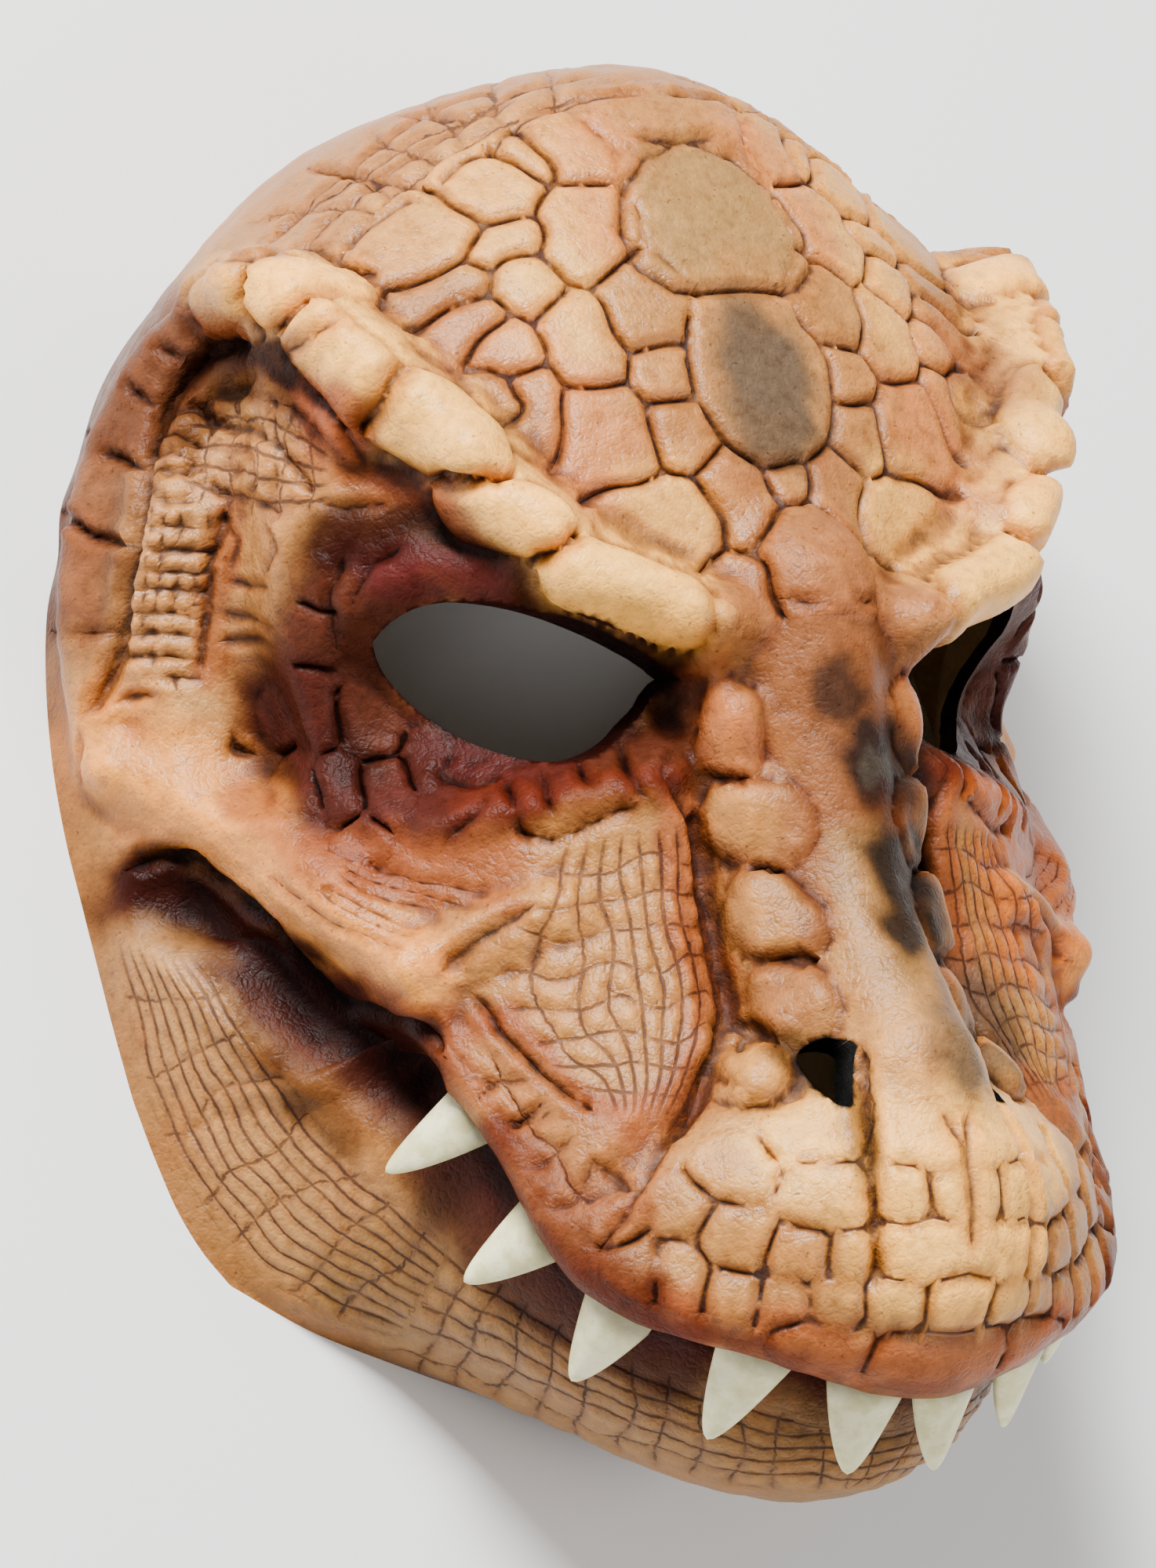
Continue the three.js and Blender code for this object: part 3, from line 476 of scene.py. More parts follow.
# %% Grooves between the scales
traits = np.array(traits)
rise, edge, depth, reach, first_firmness = (traits[scale_number, column] for column in range(5))
both_firm = first_firmness + second_firmness
between = (second_gap - first_gap) / both_firm
outer_edge = reach - first_gap / first_firmness
on_scale = first_gap < FAR
seam = np.where(on_scale, np.minimum(between, outer_edge), FAR)
meets_scale = between <= outer_edge
slope = unit(warped - second_place) * (second_firmness / both_firm)[..., None]
slope -= unit(warped - first_place) * (first_firmness / both_firm)[..., None]
steepness = np.maximum(np.sum(slope * slope, -1, keepdims=True), LEAST_SLOPE)
seam_pull = -between[..., None] * slope / steepness
is_knob = on_scale & (edge > KNOB_EDGE)
on_seam = on_scale & meets_scale & (between < SNAP) & ~is_knob
print(len(traits) - 1, "scales cover", round(100 * on_scale.mean()), "% of the grid")

# %% [markdown]
# ## Creases
#
# Between the scales run folds and wrinkles: long strips over the crown, a deep groove inside the rim band,
# the temple's brickwork, the grooves of the snout and the folds of the lips. On the real mask each was cut
# in the clay with one pull of a wire loop, so each one here is a path with a depth and a width, and a faint
# burr on both sides. A family of wrinkles on the cheek is spread between two guide paths.

# %% Crease paths, in pixels: depth (mm), width (mm), path
CREASES = [
    (0.8, 0.7, [(640, 110), (550, 140), (480, 185), (445, 218), (400, 250), (345, 303)]),
    (0.8, 0.7, [(660, 125), (600, 150), (530, 195), (480, 230), (420, 280), (385, 318)]),
    (0.9, 0.7, [(390, 215), (445, 220), (520, 237), (555, 245)]),
    (1.0, 0.8, [(510, 148), (545, 146), (605, 152)]),
    (1.1, 0.7, [(555, 245), (585, 210), (632, 190), (655, 160), (705, 140), (740, 126), (800, 122),
                (850, 122)]),
    (1.1, 0.8, [(430, 328), (460, 300), (515, 260), (540, 262)]),
    (1.2, 0.8, [(925, 176), (870, 180), (820, 205), (793, 250), (792, 300), (815, 345), (860, 372),
                (905, 374)]),
    (1.4, 0.9, [(265, 338), (320, 327), (400, 316), (455, 345), (480, 372)]),
    (2.2, 1.1, [(322, 388), (328, 420), (345, 445)]),
    (1.2, 0.7, [(368, 450), (400, 432), (450, 400)]),
    (1.0, 0.8, [(225, 398), (255, 430), (300, 450)]),
    (1.3, 0.8, [(185, 424), (205, 445), (240, 465)]),
    (1.5, 0.8, [(155, 475), (170, 500), (205, 522)]),
    (1.6, 0.9, [(110, 548), (140, 580), (185, 598)]),
    (1.9, 1.0, [(72, 650), (110, 680), (165, 698)]),
    (0.9, 0.7, [(60, 805), (100, 808), (155, 808)]),
    (2.6, 1.4, [(320, 440), (270, 450), (240, 485), (215, 520), (195, 560), (185, 600), (178, 650),
                (170, 700), (160, 740), (156, 800), (150, 840), (135, 880), (105, 915)]),
    (1.0, 0.8, [(100, 930), (102, 960), (100, 1010)]),
    (1.5, 1.0, [(215, 530), (250, 520), (290, 545), (330, 555), (355, 570), (385, 610), (400, 640)]),
    (1.1, 0.7, [(205, 552), (240, 558), (265, 570)]),
    (1.4, 0.8, [(185, 597), (215, 600), (260, 600)]),
    (0.9, 0.6, [(185, 635), (215, 640), (255, 638)]),
    (1.2, 0.7, [(170, 700), (210, 703), (270, 705)]),
    (0.8, 0.6, [(160, 755), (210, 752), (270, 760)]),
    (1.0, 0.7, [(155, 812), (210, 808), (255, 815)]),
    (1.2, 0.8, [(150, 838), (200, 838), (250, 840)]),
    (1.2, 0.8, [(140, 900), (180, 888), (215, 886)]),
    (1.3, 0.8, [(262, 600), (280, 625), (300, 640)]),
    (1.5, 0.9, [(285, 640), (282, 680), (270, 720), (262, 790), (255, 870)]),
    (1.0, 0.7, [(228, 640), (232, 670), (225, 700)]),
    (0.8, 0.6, [(225, 710), (228, 750), (215, 800)]),
    (0.7, 0.6, [(245, 715), (250, 760), (240, 800)]),
    (0.8, 0.6, [(225, 845), (222, 865), (228, 885)]),
    (0.8, 0.6, [(255, 560), (240, 600), (250, 640)]),
    (0.8, 0.6, [(198, 600), (194, 650), (190, 700)]),
    (0.8, 0.6, [(186, 705), (184, 760), (178, 830)]),
    (0.9, 0.6, [(265, 650), (268, 700), (262, 750)]),
    (0.8, 0.6, [(240, 500), (262, 530), (270, 560)]),
    (0.8, 0.6, [(300, 560), (320, 590), (318, 640)]),
    (0.8, 0.6, [(318, 640), (350, 655), (385, 640)]),
    (0.8, 0.6, [(330, 560), (350, 600), (345, 650)]),
    (0.7, 0.6, [(180, 865), (220, 862), (262, 868)]),
    (0.8, 0.6, [(380, 480), (420, 520), (470, 600)]),
    (0.8, 0.6, [(400, 640), (440, 650), (500, 640)]),
    (0.9, 0.7, [(300, 545), (305, 500), (330, 480)]),
    (0.8, 0.7, [(240, 520), (300, 500), (370, 520), (420, 570)]),
    (0.8, 0.7, [(350, 500), (345, 540), (355, 570)]),
    (0.8, 0.7, [(275, 645), (300, 690), (290, 740)]),
    (0.8, 0.7, [(205, 520), (212, 600), (206, 700), (196, 800), (190, 880)]),
    (0.8, 0.7, [(180, 575), (220, 578), (270, 600)]),
    (0.8, 0.7, [(176, 668), (215, 672), (262, 675)]),
    (0.8, 0.7, [(168, 728), (205, 730), (262, 732)]),
    (0.8, 0.7, [(158, 782), (205, 784), (258, 788)]),
    (0.9, 0.7, [(335, 660), (350, 700), (330, 740)]),
    (0.9, 0.7, [(275, 740), (310, 745), (340, 750)]),
    (0.7, 0.6, [(270, 780), (320, 790), (350, 800)]),
    (0.7, 0.6, [(270, 820), (320, 815), (350, 822)]),
    (1.4, 1.0, [(295, 930), (300, 955), (330, 965)]),
    (2.0, 1.4, [(160, 1110), (200, 1095), (250, 1095), (300, 1140), (350, 1180), (400, 1240), (440, 1280),
                (500, 1298), (550, 1320), (565, 1350)]),
    (1.3, 0.9, [(640, 988), (655, 1020), (662, 1060), (675, 1088)]),
    (1.3, 0.9, [(690, 982), (697, 1020), (712, 1052)]),
    (1.3, 0.9, [(735, 968), (745, 990), (770, 1022)]),
    (1.3, 0.9, [(788, 950), (800, 985), (815, 1010), (832, 1022)]),
    (1.1, 0.8, [(850, 955), (845, 985), (865, 1020), (885, 1060)]),
    (1.0, 0.8, [(640, 1062), (700, 1072), (740, 1060), (790, 1035), (820, 1025)]),
    (1.0, 0.8, [(575, 952), (560, 990), (600, 1000), (640, 990)]),
    (1.0, 0.8, [(620, 1022), (600, 1045), (566, 1075)]),
    (1.0, 0.8, [(440, 700), (420, 760), (430, 830)]),
    (1.0, 0.8, [(520, 690), (470, 720), (445, 780)]),
    (1.0, 0.8, [(990, 764), (1040, 770), (1085, 762)]),
    (2.3, 1.5, [(885, 1030), (900, 1150), (915, 1230), (930, 1290), (915, 1330), (890, 1400), (850, 1460)]),
    (1.8, 1.8, [(680, 1150), (610, 1200), (560, 1245)]),
    (1.5, 1.0, [(600, 1265), (640, 1320), (690, 1370), (760, 1420)]),
    (0.9, 0.8, [(640, 1370), (605, 1405)]),
    (0.9, 0.8, [(700, 1400), (665, 1425), (640, 1450)]),
    (1.0, 0.8, [(745, 1470), (780, 1500), (815, 1530)]),
    (1.1, 0.8, [(860, 1440), (830, 1490), (800, 1545), (760, 1600)]),
    (0.9, 0.7, [(700, 1510), (680, 1550)]),
    (2.6, 1.4, [(1095, 1330), (1100, 1400), (1110, 1460), (1115, 1560), (1120, 1610), (1115, 1650)]),
    (1.3, 1.0, [(1195, 1410), (1215, 1440), (1235, 1470), (1240, 1550), (1238, 1600)]),
    (1.2, 0.9, [(900, 1000), (925, 990), (945, 985)]),
    (1.8, 1.1, [(915, 1300), (950, 1312), (980, 1320), (1015, 1345)]),
    (1.4, 1.0, [(905, 1400), (950, 1412), (1000, 1405), (1040, 1385)]),
]
# Depth, width, count, seed and the two guides of each family of wrinkles
WRINKLES = [  # on the cheek
    (0.6, 0.7, 6, 16, [(330, 1120), (420, 1190), (560, 1240)], [(420, 1060), (520, 1110), (640, 1130)]),
]

# %% How creases are cut
WRINKLE_POINTS = 6
WRINKLE_SHIFT = 0.25  # how far a wrinkle strays from its even place, in spacings
WRINKLE_SHAKE = 0.07  # how far each of its points strays, in spacings
BURR = 0.2  # height of the burr beside a crease, as a share of its depth
BURR_PLACE = 2.1  # where it stands, in widths from the middle of the crease
NARROWEST = 0.95  # mm, the narrowest crease that the vertices can carry
CREASE_WAVER = (0.18, 6, (4, 5, 6))  # how far creases stray (mm), the wavelength (mm) and the seeds
TAPER_LENGTH = 3.0  # mm over which a crease runs out at both ends
TAPER_LEAST = 0.25  # what is left there of its depth and width
LINE_WIDTH = 0.8  # mm, width of the wash in a crease
DEEPEST_LINE = 1.9  # mm, the depth from which on the wash gets no wider
crease_step = np.full(ROWS * COLUMNS, FAR)  # distance over width, for the paint
crease_height = np.zeros(ROWS * COLUMNS)
crease_pull = np.zeros((ROWS * COLUMNS, 3))
crease_away = np.full(ROWS * COLUMNS, FAR)
flat_warped = (folded_base + waver(*CREASE_WAVER)).reshape(-1, 3)

# %% Cut the creases
def between_guides(first, second, count, seed):
    """Paths spread evenly between two guide paths, each a little astray."""
    random = np.random.default_rng(seed)
    guides = [evenly_along(guide, WRINKLE_POINTS) for guide in (first, second)]
    spread = np.linalg.norm(guides[1] - guides[0], axis=1).mean() / count
    paths = []
    for k in range(count):
        share = (k + 0.5 + random.uniform(-WRINKLE_SHIFT, WRINKLE_SHIFT)) / count
        path = guides[0] * (1 - share) + guides[1] * share
        path += random.normal(0, spread * WRINKLE_SHAKE, path.shape)
        cut = random.integers(0, 2)
        paths.append(path[cut:len(path) - random.integers(0, 2)])
    return paths


def cut_crease(depth, width, pixels):
    """Adds one crease to the running totals."""
    path = skin_path(pixels)
    width = max(width, NARROWEST)
    margin = 4 * width + 1  # mm; farther away its groove and burr have died away
    inside = np.all((flat_warped > path.min(0) - margin) & (flat_warped < path.max(0) + margin), axis=1)
    chosen = np.nonzero(inside)[0]
    gap, place, reached, total = nearest_on_path(flat_warped[chosen], path)
    ends = np.minimum(reached, total - reached)
    taper = TAPER_LEAST + (1 - TAPER_LEAST) * smooth(ends / min(TAPER_LENGTH, total / 2))
    ratio = gap / (width * taper)
    carve = depth * taper * (BURR * np.exp(-(ratio - BURR_PLACE) ** 2) - np.exp(-ratio ** 2))
    crease_height[chosen] += carve
    line_ratio = gap / (LINE_WIDTH * taper * min(depth, DEEPEST_LINE))
    nearer = line_ratio < crease_step[chosen]
    touched = chosen[nearer]
    crease_step[touched] = line_ratio[nearer]
    crease_pull[touched] = (place - flat_warped[chosen])[nearer]
    crease_away[touched] = gap[nearer]


for crease in CREASES:
    cut_crease(*crease)
wrinkle_count = 0
for crease_depth, width, count, seed, first, second in WRINKLES:
    for path in between_guides(first, second, count, seed):
        cut_crease(crease_depth, width, path)
        wrinkle_count += 1
print(len(CREASES), "creases and", wrinkle_count, "wrinkles")

# %% [markdown]
# ## Woven patches
#
# The cheek, the crown, the jaw, the chin, the temple and the side of the lip are carved as lattices: long
# strands with rungs between them. Each patch hangs between two guide curves. A thin plate spline, the
# surface that a springy sheet of metal would take, spreads the numbers of the strands and rungs smoothly
# between the guides. The mesh gets a soft groove at every whole number, and the paint will later draw a
# crisp line there, because the numbers are kept on the mesh.

# %% Lattices: strands, rungs, depth (mm), heights on the mask (mm), and the two guides in pixels
LATTICES = [
    (8, 9, 0.85, (45, 120), [(700, 1070), (668, 1150), (625, 1225), (640, 1300), (700, 1370), (770, 1425)],
     [(880, 1045), (893, 1140), (908, 1220), (918, 1285), (895, 1370), (855, 1440)]),
    (3, 7, 0.9, (0, 100), [(262, 325), (400, 205), (520, 134), (640, 92), (790, 76)],
     [(470, 330), (545, 262), (640, 200), (745, 140)]),
    (9, 8, 0.65, (-1, 44), [(140, 1190), (165, 1320), (205, 1450), (270, 1570), (370, 1660), (520, 1720)],
     [(250, 1200), (320, 1310), (400, 1420), (470, 1500), (540, 1560), (600, 1620)]),
    (6, 14, 0.65, (-1, 60), [(560, 1570), (680, 1660), (800, 1730), (960, 1790), (1200, 1810)],
     [(480, 1740), (620, 1785), (760, 1850), (950, 1905), (1200, 1900)]),
    (5, 6, 0.6, (0, 100), [(240, 505), (300, 478), (370, 500), (425, 560)],
     [(222, 640), (290, 662), (360, 668), (425, 655)]),
    (2, 9, 0.9, (45, 120), [(560, 1330), (630, 1440), (680, 1540), (760, 1620), (860, 1680), (960, 1690)],
     [(660, 1330), (730, 1440), (790, 1500), (850, 1560), (900, 1600), (960, 1620)]),
]

# %% How lattices are cut
GUIDE_POINTS = 9
GUIDE_UNIT = 100  # pixels; the spline is solved in this unit, so that its numbers stay small
LATTICE_WAVER = (0.22, 13, (51, 52))  # how far lines stray (spacings), the wavelength (mm) and the seeds
LATTICE_GROOVE = 1.15  # mm
LATTICE_CROWDED = (0.9, 1.9)  # mm; lines closer together than this fade out
LATTICE_FADE = 0.6  # spacings over which a patch fades in at its edges
LATTICE_TURNED = (-0.25, 0.0)  # cosines of the skin's turn from the camera between which a patch fades out

# %% A spline through the guides
def bending(points, centres):
    """The basis of a thin plate spline, and its flat part."""
    squares = np.sum((points[:, None] - centres[None]) ** 2, -1)
    return squares * np.log(squares + 1e-12) / 2, np.c_[np.ones(len(points)), points]


def thin_plate(centres, values, points):
    """The smoothest sheet through the values at the centres, read at other points."""
    curved, flat = bending(centres, centres)
    top = np.c_[curved, flat]
    bottom = np.c_[flat.T, np.zeros((3, 3))]
    solved = np.linalg.solve(np.r_[top, bottom], np.r_[values, np.zeros((3, values.shape[1]))])
    return np.c_[bending(points, centres)] @ solved


def line_gap(numbers, spacing):
    """Distance to the nearest whole number, in mm."""
    return np.abs((numbers + 0.5) % 1 - 0.5) * spacing


def spacing_of(numbers):
    """Millimetres of skin from one whole number to the next."""
    down = np.gradient(numbers, axis=0) / row_step
    across = np.gradient(numbers, axis=1) / column_step
    return 1 / np.maximum(np.hypot(down, across), 1e-3)


# %% Lay the lattices on
row_step = np.linalg.norm(np.gradient(BASE, axis=0), axis=-1)
column_step = np.linalg.norm(np.gradient(BASE, axis=1), axis=-1)
lattice_numbers = np.zeros((ROWS, COLUMNS, 2))
lattice_spacing = np.ones((ROWS, COLUMNS, 2))
lattice_share = np.zeros((ROWS, COLUMNS))
lattice_height = np.zeros((ROWS, COLUMNS))
near_normals = fine_normals * half_sign(BASE) * [-1, 1, 1]
in_view = smooth(near_normals @ VIEW[2], *LATTICE_TURNED)
for strands, rungs, lattice_depth, (lowest, highest), first, second in LATTICES:
    centres = np.concatenate([evenly_along(guide, GUIDE_POINTS) for guide in (first, second)]) / GUIDE_UNIT
    steps = np.linspace(0, rungs, GUIDE_POINTS)
    values = np.c_[np.repeat([0, strands], GUIDE_POINTS), np.tile(steps, 2)]
    numbers = thin_plate(centres, values, flat_pixels / GUIDE_UNIT).reshape(ROWS, COLUMNS, 2)
    inner_gap = np.minimum(numbers, [strands, rungs] - numbers).min(-1)
    share = smooth(inner_gap, 0, LATTICE_FADE) * (BASE[..., 2] > lowest) * (BASE[..., 2] < highest)
    numbers = numbers + waver(*LATTICE_WAVER)
    spacing = np.stack([spacing_of(numbers[..., k]) for k in (0, 1)], -1)
    share = np.where(on_scale, 0, share * in_view * smooth(spacing.min(-1), *LATTICE_CROWDED))
    gaps = line_gap(numbers, spacing)
    hollowed = np.exp(-(gaps / LATTICE_GROOVE) ** 2).max(-1)
    lattice_height -= lattice_depth * share * hollowed
    stronger = share > lattice_share
    lattice_numbers[stronger] = numbers[stronger]
    lattice_spacing[stronger] = spacing[stronger]
    lattice_share = np.maximum(lattice_share, share)
print(len(LATTICES), "lattices cover", round(100 * (lattice_share > 0).mean()), "% of the grid")

# %% [markdown]
# ## The outer face
#
# Now the carving is laid on: every scale rises like a small cushion from its grooves, every crease sinks
# in, and a faint unevenness keeps the surface from looking machined. Vertices close to a crease, or to the
# groove between two scales, are first drawn onto it, so that even a narrow groove has a clean bottom edge.

# %% Draw the vertices onto the grooves
LEAST_FADE = 0.05  # vertices that keep less of the carving than this, close to the rim, stay in place
near_crease = crease_away.reshape(ROWS, COLUMNS, 1) < SNAP
pull = np.where(near_crease, crease_pull.reshape(ROWS, COLUMNS, 3), 0)
pull = np.where(on_seam[..., None], seam_pull, pull) * half_sign(BASE)
flat_pull = pull - fine_normals * np.sum(pull * fine_normals, -1, keepdims=True)
movable = rim_fade > LEAST_FADE
movable[[0, -1]] = False
movable[:, [0, -1]] = False
snapped = BASE + np.where(movable[..., None], flat_pull, 0)
seam = np.where(on_seam & movable, 0, seam)

# %% Carve
OPEN_GROOVE = 0.35  # share of its groove that a scale keeps where it ends in bare skin
LIP_FADE = 6  # rows above the rolled edge of the lip over which the scales fade out
UNEVENNESS = [(0.16, 9, 21), (0.08, 4.2, 22)]  # height (mm), wavelength (mm) and seed
inwards = np.clip(seam / edge, 0, 1)
roundness = 1 - (1 - inwards) ** 2
cushion = rise * np.where(is_knob, roundness, np.sqrt(roundness))
groove_width = np.where(is_knob, KNOB_GROOVE_WIDTH, GROOVE_WIDTH)
groove = -np.where(meets_scale, depth, OPEN_GROOVE * depth) * np.exp(-(seam / groove_width) ** 2)
above_lip = np.ones((ROWS, COLUMNS))
above_lip[:JAW_ROW] = smooth(np.arange(JAW_ROW)[::-1, None] / (LIP_ROWS + LIP_FADE))
above_lip[JAW_ROW:] = 0
scale_height = np.where(on_scale, cushion + groove, 0) * above_lip
unevenness = sum(height * soft_noise(BASE, wavelength, seed) for height, wavelength, seed in UNEVENNESS)
carving = (scale_height + crease_height.reshape(ROWS, COLUMNS) + lattice_height + unevenness) * rim_fade
OUTER = snapped + fine_normals * carving[..., None]
print("carving from", round(carving.min(), 2), "to", round(carving.max(), 2), "mm")

# %% [markdown]
# ## The wall
#
# Slush-cast latex follows the mould outside and is nearly smooth inside. The inner face is therefore a
# coarser grid, one wall thickness below the forms. It may climb into a knob only gently, so that a wall
# beside a hollow stays whole. In a steep fold the straight way to the outer face is shorter than the way
# along the loft, so the inner face is moved away from it until enough latex is left there too. A flat rim
# closes the two faces into one watertight sheet.

# %% Sizes of the wall
INNER_SKIP = 4  # the inner face keeps every fourth row and column
THINNEST = 1.6  # mm of latex that the deepest groove leaves
INNER_CLIMB = 0.8  # how steeply the inner face may climb out of a hollow into a knob
INNER_WINDOW = 12  # vertices to each side that hold it down
INNER_SMOOTHINGS = 3
CLEARING_ROUNDS = 14  # how often the inner face is measured and moved away from the outer one
LOWEST_INSIDE = 0.3  # mm above the rim's plane, below which no inner vertex is moved
LIP_MARGIN = 6  # rows over the lip where the inner face ends

# %% Where the inner face may lie
def held_down(heights, climb, reach):
    """The highest surface under the heights that rises no faster than climb from vertex to vertex."""
    result = heights.copy()
    for _ in range(reach):
        for axis in (0, 1):
            for step in (-1, 1):
                result = np.minimum(result, np.roll(result, step, axis) + climb)
    return result


def below_limits(limits, rows, columns):
    """Heights at the coarse rows and columns whose flat patches stay under the limits of the fine grid."""
    coarse = limits[np.ix_(rows, columns)]
    across = np.array([np.interp(np.arange(COLUMNS), columns, line) for line in coarse])
    flat = np.array([np.interp(np.arange(ROWS), rows, line) for line in across.T]).T
    excess = np.maximum(flat - limits, 0)
    lowered = coarse.copy()
    for k in range(len(rows)):
        near_rows = slice(rows[max(k - 1, 0)], rows[min(k + 1, len(rows) - 1)] + 1)
        for m in range(len(columns)):
            near_columns = slice(columns[max(m - 1, 0)], columns[min(m + 1, len(columns) - 1)] + 1)
            lowered[k, m] -= excess[near_rows, near_columns].max()
    return lowered


def missing_latex(inner, outer_tree):
    """How much latex each cell of the inner face lacks, in mm, at its corner, its edges and its middle."""
    missing = np.zeros((inner.shape[0] - 1, inner.shape[1] - 1))
    for down, right in ((0, 0), (0.5, 0), (0, 0.5), (0.5, 0.5)):
        upper_edge = inner[:-1, :-1] * (1 - right) + inner[:-1, 1:] * right
        lower_edge = inner[1:, :-1] * (1 - right) + inner[1:, 1:] * right
        places = upper_edge * (1 - down) + lower_edge * down
        gaps = [outer_tree.find(place)[2] for place in places.reshape(-1, 3)]
        missing = np.maximum(missing, THINNEST - np.reshape(gaps, missing.shape))
    return missing


def stitch(outer_edge_ids, inner_edge_ids, beside):
    """Triangles between a fine edge and a coarse one, whose vertices sit beside the fine ones named."""
    triangles = []
    for k in range(len(inner_edge_ids) - 1):
        half = (beside[k] + beside[k + 1]) // 2
        for m in range(beside[k], beside[k + 1]):
            corner = inner_edge_ids[k] if m < half else inner_edge_ids[k + 1]
            triangles.append((outer_edge_ids[m], outer_edge_ids[m + 1], corner))
        triangles.append((inner_edge_ids[k], outer_edge_ids[half], inner_edge_ids[k + 1]))
    return triangles


def every(first, last, skip):
    """Every skip-th number from first to last, both ends among them."""
    numbers = list(range(first, last, skip))
    return numbers + [last]


# %% Lay the inner face
inner_rows = every(0, LIP_ROW - LIP_MARGIN, INNER_SKIP) + every(JAW_ROW, ROWS - 1, INNER_SKIP)
inner_columns = every(0, COLUMNS - 1, INNER_SKIP)
room = np.minimum(form_height - WALL, form_height + carving - THINNEST)
inner_height = below_limits(held_down(room, INNER_CLIMB * FINE_STEP, INNER_WINDOW), inner_rows, inner_columns)
for _ in range(INNER_SMOOTHINGS):
    around = (inner_height[:-2, 1:-1] + inner_height[2:, 1:-1]
              + inner_height[1:-1, :-2] + inner_height[1:-1, 2:]) / 4
    inner_height[1:-1, 1:-1] = np.minimum(inner_height[1:-1, 1:-1], around)


# %% Clear the inner face from the outer one
ENOUGH = 0.1  # mm; a cell that lacks no more than this isn't counted
chosen = np.ix_(inner_rows, inner_columns)
outer_points = OUTER.reshape(-1, 3)
outer_face = kd_tree(outer_points)
for clearing in range(CLEARING_ROUNDS):
    INNER = LOFT[chosen] + outward[chosen] * inner_height[..., None]
    missing = missing_latex(INNER, outer_face)
    if clearing in (0, CLEARING_ROUNDS - 1):
        lacking = int((missing > ENOUGH).sum())
        print("round", clearing, "cells that lack latex:", lacking, "by up to", round(missing.max(), 2))
    lowering = np.zeros_like(inner_height)
    for k, m in ((0, 0), (1, 0), (0, 1), (1, 1)):
        corner = lowering[k:k + missing.shape[0], m:m + missing.shape[1]]
        np.maximum(corner, missing, out=corner)
    lowering[[0, -1]] = 0
    lowering[:, [0, -1]] = 0
    moved_height = LOFT[chosen][..., 2] + outward[chosen][..., 2] * (inner_height - lowering)
    lowering[moved_height < LOWEST_INSIDE] = 0
    inner_height -= lowering
INNER = LOFT[chosen] + outward[chosen] * inner_height[..., None]

# %% Close the rim
first_inner = ROWS * COLUMNS
inner_index = first_inner + np.arange(len(inner_rows) * len(inner_columns)).reshape(len(inner_rows), -1)
inner_corners = np.stack([
    inner_index[:-1, :-1], inner_index[:-1, 1:], inner_index[1:, 1:], inner_index[1:, :-1],
], -1).reshape(-1, 4)
rim_triangles = (
    stitch(grid_index[0], inner_index[0], inner_columns)
    + stitch(grid_index[-1], inner_index[-1], inner_columns)
    + stitch(grid_index[:, 0], inner_index[:, 0], inner_rows)
    + stitch(grid_index[:, -1], inner_index[:, -1], inner_rows)
)
print("inner face", len(inner_rows), "by", len(inner_columns), "and", len(rim_triangles), "triangles of rim")

# %% [markdown]
# ## The paint
#
# The real mask was painted in thin layers: tan all over, blushes of pink and cream sponged on while wet,
# maroon round the eyes and in the hollows, then an umber wash that settles in the grooves. The blushes are
# soft strokes along paths through the photograph, kept on the mesh as a colour of each vertex. The colours
# were mixed one by one.
# Some strokes are painted shade, not blushes: under the brow, at the top of the temple, at the feet of the
# brow knobs, in the inner corner of the eye, beside the flank, inside the jaw and under the lip. The code
# below also paints shade under the lip, at the foot of each knob and along the edge of the mask.

# %% Pots of paint
POTS = {
    "cream": "f2c880",
    "straw": "f0c47c",
    "fawn": "c49c68",
    "apricot": "e0aa66",
    "tan": "c09868",
    "ochre": "c8a478",
    "drab": "a88a60",
    "rose": "dca572",
    "clay": "ac7452",
    "mushroom": "866452",
    "snuff": "a07558",
    "olive": "b59a70",
    "moss": "6c6862",
    "orange": "c68446",
    "russet": "7e4a3c",
    "wine": "6e4042",
    "maroon": "6a423e",
    "dark": "4e2c28",
    "umber": "664430",
    "blotch_and_shade_grey": "34383e",
    # grey-black: blotches on the snout, and painted shade in the nostrils
    "bone": "d9c29a",
    "sand": "cdb48a",
}
PAINT_STRENGTH = np.array([1.55, 1.6, 1.66])  # powers of red, green and blue: above 1 a pot is mixed deeper
KNOB_SHADE = 0.4  # share of the colour that painted shade takes from the foot of a knob
EDGE_SHADE = 0.4  # share of the colour that painted shade takes from the outer edge of the mask
SHADE_COLOUR = [0.8, 1.0, 1.2]  # shares of both shades in red, green and blue, so that they are warm
STROKE_SOFTNESS = 0.45  # share of a stroke's radius over which it fades
STROKE_WAVER = (9, 7, (31, 32))  # how far a stroke's edge strays (pixels), the wavelength (mm), the seeds
PAINT_TURNED = (0.0, 0.3)  # cosines of the skin's turn from the camera between which a lone stroke fades
TINT_RANGE = (0.88, 1.1)  # each scale is a little darker or paler than the next
TINT_SEED = 41
LIP_SHADE_ROWS = 14  # rows under the lip over which the maroon of its painted shadow fades out
LIP_SHADE_HEIGHTS = (20, 40)  # mm over the rim between which it fades in
HOLLOW_SPANS = ((2, 0.6), (7, 0.16))  # vertices to each side over which a hollow is felt, and how much

